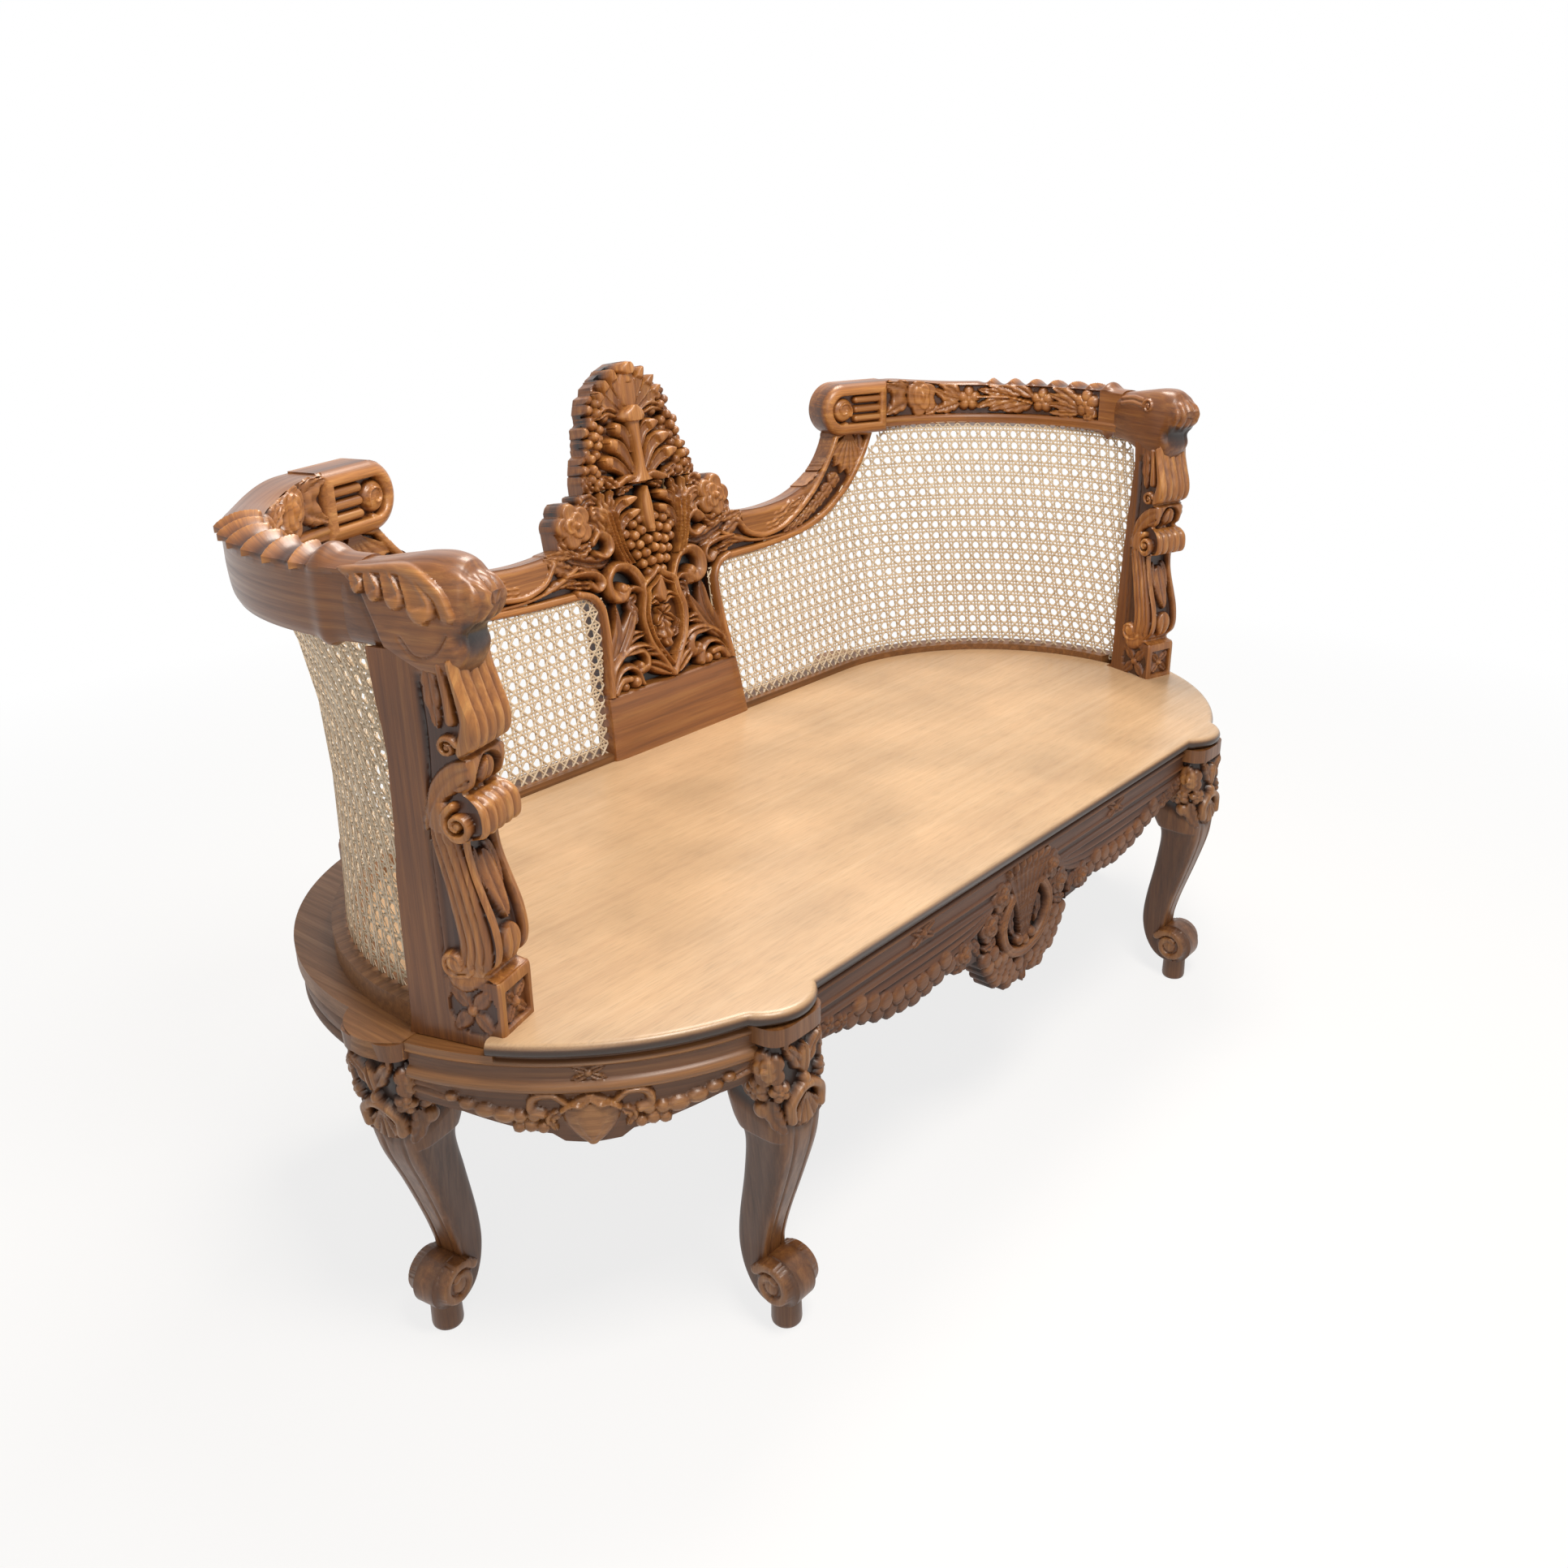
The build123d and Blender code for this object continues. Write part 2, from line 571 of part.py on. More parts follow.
def cabriole_leg(stand, foot, top):
    """A leg whose side view lies in the stand plane, from the peg on the floor to its top."""
    ankle = foot - ANKLE_SET
    inside = EAR_REACH - BLOCK_DEPTH
    shoulder = EAR_REACH - BLOCK_SHOULDER
    with BuildPart() as leg:
        with BuildSketch(stand):
            shin = (KNEE_HEIGHT + ANKLE_HEIGHT) / 2
            knee = EAR_REACH - KNEE_SET
            front_ankle = ankle + ANKLE_DEPTH / 2
            back_ankle = ankle - ANKLE_DEPTH / 2
            sole = SCROLL_HEIGHT - SCROLL_RADIUS / 2
            with BuildLine():
                Spline(
                    (knee, KNEE_HEIGHT),
                    (front_ankle, ANKLE_HEIGHT),
                    tangents=((0, -1), (0.1, -1)),
                )
                Line((front_ankle, ANKLE_HEIGHT), (foot, SCROLL_HEIGHT))
                Line((foot, SCROLL_HEIGHT), (foot, sole))
                Spline(
                    (foot, sole),
                    (foot - HEEL_SET, SCROLL_HEIGHT),
                    (back_ankle, ANKLE_HEIGHT),
                    ((inside + back_ankle) / 2 + KNEE_SET, shin),
                    (inside, KNEE_HEIGHT),
                    tangents=((-1, 0), (0, 1)),
                )
                Line((inside, KNEE_HEIGHT), (knee, KNEE_HEIGHT))
            make_face()
        extrude(amount=BLOCK_HALF, both=True)
        with BuildSketch(Plane(origin=stand.origin, x_dir=-stand.z_dir, z_dir=stand.x_dir)):
            half_ankle = ANKLE_WIDTH / 2
            with BuildLine():
                Line((-BLOCK_HALF, KNEE_HEIGHT), (BLOCK_HALF, KNEE_HEIGHT))
                Spline(
                    (BLOCK_HALF, KNEE_HEIGHT),
                    ((BLOCK_HALF + half_ankle) / 2, shin),
                    (half_ankle, ANKLE_HEIGHT),
                    tangents=((-0.3, -1), (0, -1)),
                )
                Polyline(
                    (half_ankle, ANKLE_HEIGHT),
                    (half_ankle, 0),
                    (-half_ankle, 0),
                    (-half_ankle, ANKLE_HEIGHT),
                )
                Spline(
                    (-half_ankle, ANKLE_HEIGHT),
                    (-(BLOCK_HALF + half_ankle) / 2, shin),
                    (-BLOCK_HALF, KNEE_HEIGHT),
                    tangents=((0, 1), (-0.3, 1)),
                )
            make_face()
        extrude(amount=CUTTER, mode=Mode.INTERSECT)
        with BuildSketch(level_plane(stand, KNEE_HEIGHT)):
            with BuildLine():
                ThreePointArc((shoulder, -BLOCK_HALF), (EAR_REACH, 0), (shoulder, BLOCK_HALF))
                Polyline(
                    (shoulder, BLOCK_HALF),
                    (inside, BLOCK_HALF),
                    (inside, -BLOCK_HALF),
                    (shoulder, -BLOCK_HALF),
                )
            make_face()
        extrude(amount=top - KNEE_HEIGHT)
        with BuildSketch(stand):
            with Locations((foot, SCROLL_HEIGHT)):
                Circle(SCROLL_RADIUS)
        extrude(amount=SCROLL_WIDTH / 2, both=True)
        with BuildSketch(level_plane(stand, 0)):
            with Locations((foot, 0)):
                Circle(PEG_RADIUS)
        extrude(amount=SCROLL_HEIGHT)
        add(frame_dowel_holes.part, mode=Mode.SUBTRACT)
    return leg


front_right_leg = cabriole_leg(FRONT_LEG, FRONT_FOOT_REACH, RAIL_TOP)
save(front_right_leg, "front_right_leg")
save(twin_of(front_right_leg), "front_left_leg")
right_end_leg = cabriole_leg(END_LEG, END_FOOT_REACH, LEDGE_BOTTOM)
save(right_end_leg, "right_end_leg")
save(twin_of(right_end_leg), "left_end_leg")
rear_right_leg = cabriole_leg(REAR_LEG, FRONT_FOOT_REACH, LEDGE_BOTTOM)
save(rear_right_leg, "rear_right_leg")
save(twin_of(rear_right_leg), "rear_left_leg")

# Ledge round the ends and the back, with an ear over each leg

LEDGE_INSIDE = TUB_RADIUS - SILL_INSIDE - BOARD_BEARING
LEDGE_BACK = STRAIGHT_FACE + LEDGE_LIP


def ear_at(stand):
    """Rounded ear over a leg, as a circle on a level sketch."""
    spot = stand.origin + stand.x_dir * EAR_CENTRE
    with Locations((spot.X, spot.Y)):
        Circle(EAR_RADIUS + LEDGE_LIP)


def end_outline(radius):
    """The rounded end in plan, past the front and rear legs' middle line."""
    with Locations((END_CENTRE, 0)):
        Circle(radius)
    with Locations((LEG_X - radius, 0)):
        Rectangle(2 * radius, 4 * radius, mode=Mode.SUBTRACT)


with BuildPart() as right_ledge:
    with BuildSketch(Plane.XY.offset(LEDGE_BOTTOM)):
        end_outline(REAR_RADIUS + LEDGE_LIP)
        with Locations(((END_CENTRE + LEG_X) / 2, LEDGE_BACK / 2)):
            Rectangle(LEG_X - END_CENTRE, LEDGE_BACK)
        ear_at(END_LEG)
        ear_at(REAR_LEG)
        with Locations((TUB_CENTRE_X, TUB_CENTRE_Y)):
            Circle(LEDGE_INSIDE, mode=Mode.SUBTRACT)
    extrude(amount=LEDGE_THICKNESS)
    split(bisect_by=END_LEG.offset(BLOCK_HALF), keep=Keep.BOTTOM)
    split(bisect_by=Plane(origin=(END_CENTRE, 0, 0), z_dir=(1, 0, 0)), keep=Keep.TOP)
    add(sill_screw_holes.part, mode=Mode.SUBTRACT)
save(right_ledge, "right_ledge")
save(twin_of(right_ledge), "left_ledge")

with BuildPart() as back_ledge:
    inner_edge = TUB_CENTRE_Y + LEDGE_INSIDE
    with BuildSketch(Plane.XY.offset(LEDGE_BOTTOM)):
        with Locations((0, (inner_edge + LEDGE_BACK) / 2)):
            Rectangle(2 * END_CENTRE, LEDGE_BACK - inner_edge)
    extrude(amount=LEDGE_THICKNESS)
    add(sill_screw_holes.part, mode=Mode.SUBTRACT)
    add(shoe_dowel_holes.part, mode=Mode.SUBTRACT)
save(back_ledge, "back_ledge")

# Splat: a plain shoe, a waisted panel and a tall crest

with BuildPart() as splat_shoe:
    with BuildSketch(SPLAT):
        with BuildLine():
            Polyline(
                (-SHOE_HALF_WIDTH, -SPLAT_THICKNESS),
                (SHOE_HALF_WIDTH, -SPLAT_THICKNESS),
                (SHOE_HALF_WIDTH, 0),
                (SHOE_TOP_HALF, climb(SHOE_TOP)),
                (-SHOE_TOP_HALF, climb(SHOE_TOP)),
                (-SHOE_HALF_WIDTH, 0),
                close=True,
            )
        make_face()
    extrude(amount=-SPLAT_THICKNESS)
    split(bisect_by=Plane.XY.offset(RAIL_TOP), keep=Keep.TOP)
    add(splat_dowel_holes.part, mode=Mode.SUBTRACT)
    add(shoe_dowel_holes.part, mode=Mode.SUBTRACT)
save(splat_shoe, "splat_shoe")


def panel_side():
    """Waisted right-hand edge of the splat panel, up to the shoulder that meets the dip rail."""
    Spline(
        (SHOE_TOP_HALF, climb(SHOE_TOP)),
        (PANEL_WAIST, climb(PANEL_WAIST_HEIGHT)),
        (SHOULDER_HALF_WIDTH, climb(SHOULDER_BOTTOM)),
        tangents=((-0.1, 1), (1, 0.1)),
    )


with BuildPart() as splat_panel:
    with BuildSketch(SPLAT):
        with BuildLine():
            panel_side()
            Line(
                (SHOULDER_HALF_WIDTH, climb(SHOULDER_BOTTOM)),
                (SHOULDER_HALF_WIDTH, climb(SHOULDER_TOP)),
            )
            Spline(
                (SHOULDER_HALF_WIDTH, climb(SHOULDER_TOP)),
                (CREST_HALF_WIDTH, climb(CREST_SEAM)),
                tangents=((-1, 0.35), (-0.25, 1)),
            )
            Polyline(
                (CREST_HALF_WIDTH, climb(CREST_SEAM)),
                (0, climb(CREST_SEAM)),
                (0, climb(SHOE_TOP)),
                (SHOE_TOP_HALF, climb(SHOE_TOP)),
            )
        make_face()
        mirror(about=Plane.YZ)
    extrude(amount=-SPLAT_THICKNESS)
    add(splat_dowel_holes.part, mode=Mode.SUBTRACT)
save(splat_panel, "splat_panel")

with BuildPart() as splat_crest:
    with BuildSketch(SPLAT):
        with BuildLine():
            Spline(
                (CREST_HALF_WIDTH, climb(CREST_SEAM)),
                (CREST_BROW[0], climb(CREST_BROW[1])),
                (CREST_TIP[0], climb(CREST_TIP[1])),
                (0, climb(CREST_HEIGHT)),
                tangents=((-0.3, 1), (-1, 0)),
            )
            Polyline(
                (0, climb(CREST_HEIGHT)),
                (0, climb(CREST_SEAM)),
                (CREST_HALF_WIDTH, climb(CREST_SEAM)),
            )
        make_face()
        mirror(about=Plane.YZ)
    extrude(amount=-SPLAT_THICKNESS)
    add(splat_dowel_holes.part, mode=Mode.SUBTRACT)
save(splat_crest, "splat_crest")

# The tub that the cane, its sill and the dipped back rail follow

TUB_SPARE = 12.0
TUB_SWEEP = 90 + POST_TURN + TUB_SPARE


def tub_band(height, centre, inside, outside):
    """Level slice of the right-hand tub: a straight run and an arc between two distances."""
    run = (0, centre[1] + inside)
    with BuildSketch(Plane.XY.offset(height)) as band:
        with BuildLine():
            inner = CenterArc(centre, inside, 90, -TUB_SWEEP)
            outer = CenterArc(centre, outside, 90, -TUB_SWEEP)
            Line(inner @ 0, run)
            Line(run, (0, centre[1] + outside))
            Line((0, centre[1] + outside), outer @ 0)
            Line(inner @ 1, outer @ 1)
        make_face()
    return band.sketch


TUB_CENTRE = (TUB_CENTRE_X, TUB_CENTRE_Y)
RAIL_CENTRE = (RAIL_CENTRE_X, RAIL_CENTRE_Y)
CANE_HALF = CANE_THICKNESS / 2
CANE_TOP_RADIUS = TOP_RAIL_RADIUS + CANE_SET


def tub_shell(inside, outside):
    """Right-hand half of the leaning tub, between two distances from the cane's middle."""
    foot = tub_band(SILL_TOP, TUB_CENTRE, TUB_RADIUS + inside, TUB_RADIUS + outside)
    top = tub_band(CANE_TOP, RAIL_CENTRE, CANE_TOP_RADIUS + inside, CANE_TOP_RADIUS + outside)
    with BuildPart() as shell:
        loft([foot, top], ruled=True)
    return shell


# Dipped back rail, from the splat's shoulder up to the volute

VOLUTE_NECK_X = collar_edge(TOP_RAIL_RADIUS)[0]


def dip_underside():
    """Lower edge of the dip rail, which is also the cane's upper edge there."""
    Spline(
        (SHOULDER_HALF_WIDTH, climb(SHOULDER_BOTTOM)),
        (DIP_TURN_X, climb(SHOULDER_BOTTOM + DIP_TURN_RISE)),
        (VOLUTE_NECK_X, climb(ARM_BASE)),
        tangents=((1, 0.1), (0.6, 1)),
    )


with BuildPart() as right_dip_rail:
    with BuildSketch(SPLAT):
        with BuildLine():
            dip_underside()
            Polyline(
                (VOLUTE_NECK_X, climb(ARM_BASE)),
                (VOLUTE_NECK_X, climb(ARM_HEIGHT)),
                (DIP_END_X, climb(ARM_HEIGHT)),
                (DIP_END_X, climb(ARM_BASE)),
            )
            Spline(
                (DIP_END_X, climb(ARM_BASE)),
                (DIP_LOW_X, climb(SHOULDER_TOP - DIP_DEPTH)),
                (SHOULDER_HALF_WIDTH, climb(SHOULDER_TOP)),
                tangents=((-0.5, -1), (-1, 0.35)),
            )
            Line(
                (SHOULDER_HALF_WIDTH, climb(SHOULDER_TOP)),
                (SHOULDER_HALF_WIDTH, climb(SHOULDER_BOTTOM)),
            )
        make_face()
    extrude(amount=SPLAT_THICKNESS * 3, both=True)
    add(tub_shell(0, SPLAT_THICKNESS).part, mode=Mode.INTERSECT)
    split(bisect_by=Plane.XY.offset(ARM_BASE), keep=Keep.BOTTOM)
    add(splat_dowel_holes.part, mode=Mode.SUBTRACT)
save(right_dip_rail, "right_dip_rail")
save(twin_of(right_dip_rail), "left_dip_rail")

# Top rail, volute and knuckle


def crowned_top():
    """Rounded top of the rail, from its inside to its outside."""
    ThreePointArc(
        (TOP_RAIL_INSIDE, ARM_HEIGHT - RAIL_CROWN),
        (TOP_RAIL_RADIUS, ARM_HEIGHT),
        (TOP_RAIL_OUTSIDE, ARM_HEIGHT - RAIL_CROWN),
    )


with BuildPart() as right_top_rail:
    with BuildSketch(upright_plane(RAIL_CENTRE_X, RAIL_CENTRE_Y, -POST_TURN)):
        lip_inside = TOP_RAIL_OUTSIDE - RAIL_LIP
        with BuildLine():
            crowned_top()
            Polyline(
                (TOP_RAIL_OUTSIDE, ARM_HEIGHT - RAIL_CROWN),
                (TOP_RAIL_OUTSIDE, ARM_BASE),
                (lip_inside, ARM_BASE),
                (lip_inside, CANE_TOP),
                (TOP_RAIL_INSIDE, CANE_TOP),
                (TOP_RAIL_INSIDE, ARM_HEIGHT - RAIL_CROWN),
            )
        make_face()
    revolve(axis=TOP_AXIS, revolution_arc=POST_TURN + VOLUTE_ANGLE)
    add(splat_dowel_holes.part, mode=Mode.SUBTRACT)
save(right_top_rail, "right_top_rail")
save(twin_of(right_top_rail), "left_top_rail")

with BuildPart() as right_volute:
    # A slanting block from the rail's end, with a rounded tip flush with the splat
    with BuildSketch(Plane.XY.offset(ARM_BASE)):
        with BuildLine():
            Polyline(
                collar_edge(TOP_RAIL_INSIDE),
                collar_edge(TOP_RAIL_OUTSIDE),
                (VOLUTE_TIP_X, VOLUTE_BACK_Y),
                (VOLUTE_TIP_X, VOLUTE_FRONT_Y),
                close=True,
            )
        make_face()
    extrude(amount=ARM_HEIGHT - ARM_BASE)
    block_length = collar_edge(TOP_RAIL_OUTSIDE)[0] - VOLUTE_X
    with BuildSketch(Plane.XZ):
        with Locations((VOLUTE_X, ARM_HEIGHT - VOLUTE_RADIUS)):
            Circle(VOLUTE_RADIUS)
        with Locations((VOLUTE_X + block_length / 2, (ARM_BASE + ARM_HEIGHT) / 2)):
            Rectangle(block_length, ARM_HEIGHT - ARM_BASE)
    extrude(amount=-CUTTER, mode=Mode.INTERSECT)
    add(splat_dowel_holes.part, mode=Mode.SUBTRACT)
save(right_volute, "right_volute")
save(twin_of(right_volute), "left_volute")

with BuildPart() as right_arm_knuckle:
    knuckle_rise = ARM_HEIGHT - ARM_BASE
    with BuildSketch(POST):
        with BuildLine():
            Polyline(
                (-KNUCKLE_CHIN_SET, ARM_BASE),
                (-POST_DEPTH, ARM_BASE),
                (-POST_DEPTH, ARM_HEIGHT - KNUCKLE_STEP),
            )
            Spline(
                (-POST_DEPTH, ARM_HEIGHT - KNUCKLE_STEP),
                (-KNUCKLE_NOSE_SET - POST_DEPTH * KNUCKLE_CREST_SHARE, ARM_HEIGHT),
                (-KNUCKLE_NOSE_SET, ARM_BASE + knuckle_rise * KNUCKLE_NOSE_SHARE),
                (-KNUCKLE_CHIN_SET, ARM_BASE),
                tangents=((1, 0), (-0.6, -1)),
            )
        make_face()
    extrude(amount=KNUCKLE_WIDTH / 2, both=True)
    add(splat_dowel_holes.part, mode=Mode.SUBTRACT)
save(right_arm_knuckle, "right_arm_knuckle")
save(twin_of(right_arm_knuckle), "left_arm_knuckle")

# Arm post: a plain stile behind, and an S scroll on a square plinth in front

with BuildPart() as right_arm_post:
    plinth_top = RAIL_TOP + PLINTH_HEIGHT
    waist_height = (POST_CURL_HEIGHT + POST_ROLL_HEIGHT) / 2 + POST_CURL_RISE
    with BuildSketch(POST):
        with BuildLine():
            Polyline(
                (-POST_NECK, ARM_BASE),
                (-POST_DEPTH, ARM_BASE),
                (-POST_DEPTH, RAIL_TOP),
                (0, RAIL_TOP),
                (0, plinth_top),
                (-POST_CURL_PROUD * 2, plinth_top),
            )
            Spline(
                (-POST_CURL_PROUD * 2, plinth_top),
                (POST_CURL_PROUD, POST_CURL_HEIGHT + POST_CURL_RISE),
                (-POST_WAIST, waist_height),
                (-POST_SCROLL_SET, POST_ROLL_HEIGHT),
                (-POST_NECK, ARM_BASE),
                tangents=((0.2, 1), (0, 1)),
            )
        make_face()
    extrude(amount=POST_WIDTH / 2, both=True)
    with BuildSketch(POST):
        with Locations((-POST_ROLL_SET - POST_ROLL_RADIUS, POST_ROLL_HEIGHT)):
            Circle(POST_ROLL_RADIUS)
    extrude(amount=POST_ROLL_WIDTH / 2, both=True)
    with BuildSketch(POST):
        with Locations((-POST_CURL_RADIUS, POST_CURL_HEIGHT)):
            Circle(POST_CURL_RADIUS)
    extrude(amount=POST_WIDTH / 2 + POST_CURL_PROUD, both=True)
    add(splat_dowel_holes.part, mode=Mode.SUBTRACT)
save(right_arm_post, "right_arm_post")
save(twin_of(right_arm_post), "left_arm_post")

# Sill under the cane, and the cane panel itself

# Everything on the splat's side of the shoe, the panel, the dip rail and the volute
with BuildPart() as splat_side:
    with BuildSketch(SPLAT):
        with BuildLine():
            panel_side()
            dip_underside()
            Polyline(
                (VOLUTE_NECK_X, climb(ARM_BASE)),
                (VOLUTE_NECK_X, climb(ARM_HEIGHT)),
                (-SHOE_HALF_WIDTH, climb(ARM_HEIGHT)),
                (-SHOE_HALF_WIDTH, -SILL_HEIGHT),
                (SHOE_HALF_WIDTH, -SILL_HEIGHT),
                (SHOE_HALF_WIDTH, 0),
                (SHOE_TOP_HALF, climb(SHOE_TOP)),
            )
        make_face()
    extrude(amount=SPLAT_THICKNESS * 3, both=True)

with BuildPart() as right_cane_sill:
    sill_plan = tub_band(RAIL_TOP, TUB_CENTRE, TUB_RADIUS - SILL_INSIDE, TUB_RADIUS + SILL_OUTSIDE)
    extrude(sill_plan, amount=SILL_HEIGHT)
    split(bisect_by=POST_BACK, keep=Keep.TOP)
    add(splat_side.part, mode=Mode.SUBTRACT)
    add(sill_screw_holes.part, mode=Mode.SUBTRACT)
save(right_cane_sill, "right_cane_sill")
save(twin_of(right_cane_sill), "left_cane_sill")


def cane_slice(share, belly):
    """Level slice of the cane at a share of its height: a straight run and a flattened arc."""
    height = SILL_TOP + (CANE_TOP - SILL_TOP) * share
    centre_x = TUB_CENTRE_X + (RAIL_CENTRE_X - TUB_CENTRE_X) * share
    centre_y = TUB_CENTRE_Y + (RAIL_CENTRE_Y - TUB_CENTRE_Y) * share
    middle = TUB_RADIUS + (CANE_TOP_RADIUS - TUB_RADIUS) * share

    def place(radius, angle):
        """Point at an angle from the back, at a distance from the tub's middle."""
        turn = radians(angle)
        return (centre_x + radius * sin(turn), centre_y + radius * cos(turn))

    def bellied(radius):
        """Arc from the straight run to beyond the post, drawn in on the way."""
        return ThreePointArc(
            place(radius, 0),
            place(radius - belly, CANE_BELLY_ANGLE),
            place(radius - belly * CANE_BELLY_POST_SHARE, TUB_SWEEP),
        )

    with BuildSketch(Plane.XY.offset(height)) as slice_sketch:
        with BuildLine():
            inner = bellied(middle - CANE_HALF)
            outer = bellied(middle + CANE_HALF)
            Polyline(inner @ 0, (0, (inner @ 0).Y), (0, (outer @ 0).Y), outer @ 0)
            Line(inner @ 1, outer @ 1)
        make_face()
    return slice_sketch.sketch


def cane_limit(along):
    """Height that the openings stay under at a distance along the cane from the middle of the back."""
    share = (along - DIP_TURN_X) / (VOLUTE_NECK_X - DIP_TURN_X)
    low = SHOULDER_BOTTOM + DIP_TURN_RISE
    return low + (CANE_TOP - low) * min(max(share, 0), 1)


CANE_RUN = TUB_CENTRE_X + TUB_RADIUS * radians(90) - SHOE_HALF_WIDTH
CANE_OPENING_WIDTH = CANE_RUN / CANE_COLUMNS - CANE_BAR
CANE_OPENING_HEIGHT = (CANE_TOP - SILL_TOP) / CANE_ROWS - CANE_BAR

with BuildPart() as cane_openings:
    for column in range(CANE_COLUMNS):
        along = SHOE_HALF_WIDTH + CANE_RUN * (column + 0.5) / CANE_COLUMNS
        angle = max(along - TUB_CENTRE_X, 0) / TUB_RADIUS
        centre_x = min(along, TUB_CENTRE_X) + TUB_RADIUS * sin(angle)
        centre_y = TUB_CENTRE_Y + TUB_RADIUS * cos(angle)
        for row in range(CANE_ROWS):
            height = SILL_TOP + (CANE_TOP - SILL_TOP) * (row + 0.5) / CANE_ROWS
            if height + CANE_OPENING_HEIGHT / 2 + CANE_BAR < cane_limit(along):
                with Locations(Location((centre_x, centre_y, height), (0, 0, -degrees(angle)))):
                    Box(CANE_OPENING_WIDTH, TUB_RADIUS / 2, CANE_OPENING_HEIGHT)

with BuildPart() as right_cane_panel:
    loft([cane_slice(share, belly) for share, belly in CANE_BELLY], ruled=True)
    split(bisect_by=POST_BACK, keep=Keep.TOP)
    add(splat_side.part, mode=Mode.SUBTRACT)
    add(right_volute.part, mode=Mode.SUBTRACT)
    add(cane_openings.part, mode=Mode.SUBTRACT)
save(right_cane_panel, "right_cane_panel")
save(twin_of(right_cane_panel), "left_cane_panel")

# Seat board: open to the front, and inside the sills behind the posts

with BuildPart() as seat_board:
    board_inside = TUB_RADIUS - SILL_INSIDE - FIT_GAP
    board_front = STRAIGHT_FACE + BOARD_LIP
    # A tongue in front of the shoe passes between the ends of the sills.
    shoe_slope = SHOE_TAPER / (SHOE_TOP - RAIL_TOP)
    tongue_half = SHOE_HALF_WIDTH - shoe_slope * BOARD_THICKNESS - FIT_GAP
    with BuildSketch(Plane.XY.offset(RAIL_TOP)):
        end_outline(END_RADIUS + BOARD_LIP)
        with Locations((LEG_X / 2, 0)):
            Rectangle(LEG_X, 2 * board_front)
        ear_at(FRONT_LEG)
        # Only what lies in front of the post's face reaches the outer edge.
        with Locations(Location((POST_FRONT.X, POST_FRONT.Y, 0), (0, 0, -90 - POST_TURN))):
            with Locations((-END_RADIUS, 0)):
                Rectangle(2 * END_RADIUS, CUTTER, mode=Mode.SUBTRACT)
        with Locations((TUB_CENTRE_X, TUB_CENTRE_Y)):
            Circle(board_inside)
        with Locations((TUB_CENTRE_X / 2, TUB_CENTRE_Y)):
            Rectangle(TUB_CENTRE_X, 2 * board_inside)
        with Locations((tongue_half / 2, SPLAT_Y / 2 - FIT_GAP)):
            Rectangle(tongue_half, SPLAT_Y)
        mirror(about=Plane.YZ)
    extrude(amount=BOARD_THICKNESS)
    for stand in (POST, upright_plane(-POST_FRONT.X, POST_FRONT.Y, -90 + POST_TURN)):
        with BuildSketch(level_plane(stand, RAIL_TOP)):
            with Locations((-POST_DEPTH / 2, 0)):
                Rectangle(POST_DEPTH + 2 * FIT_GAP, POST_WIDTH + 2 * FIT_GAP)
        extrude(amount=BOARD_THICKNESS, mode=Mode.SUBTRACT)
    add(batten_screw_holes.part, mode=Mode.SUBTRACT)
save(seat_board, "seat_board")

# Battens and glue blocks inside the seat frame

RAIL_INSIDE = STRAIGHT_FACE - RAIL_THICKNESS
with BuildPart() as seat_battens:
    for column in (-1, 0, 1):
        with Locations((column * BATTEN_SPACING, 0, BATTEN_BOTTOM)):
            Box(
                BATTEN_WIDTH,
                2 * RAIL_INSIDE,
                BATTEN_HEIGHT,
                align=(Align.CENTER, Align.CENTER, Align.MIN),
            )
    # The ledge lies in a rebate at the back of each batten.
    with Locations((0, TUB_CENTRE_Y + LEDGE_INSIDE, LEDGE_BOTTOM)):
        Box(
            2 * END_CENTRE,
            RAIL_INSIDE,
            LEDGE_THICKNESS,
            align=(Align.CENTER, Align.MIN, Align.MIN),
            mode=Mode.SUBTRACT,
        )
    add(batten_screw_holes.part, mode=Mode.SUBTRACT)
save(seat_battens, "seat_battens")

with BuildPart() as corner_blocks:
    for side in (-1, 1):
        for end in (-1, 1):
            along = side * (FRONT_RAIL_HALF - GLUE_BLOCK_LENGTH / 2)
            inward = end * (RAIL_INSIDE - GLUE_BLOCK_DEPTH / 2)
            with Locations((along, inward, RAIL_BOTTOM)):
                Box(
                    GLUE_BLOCK_LENGTH,
                    GLUE_BLOCK_DEPTH,
                    GLUE_BLOCK_HEIGHT,
                    align=(Align.CENTER, Align.CENTER, Align.MIN),
                )
save(corner_blocks, "corner_blocks")
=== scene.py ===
# %% [markdown]
# # A carved teak loveseat with a caned tub back
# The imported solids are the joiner's frame of this seat, and each piece below is dressed in that frame.
# Shapes are worked out in millimetres, as on a workshop drawing, and become metres when a mesh is made.

# %% Load the frame
import bpy
import numpy as np
from mathutils import Matrix, Vector


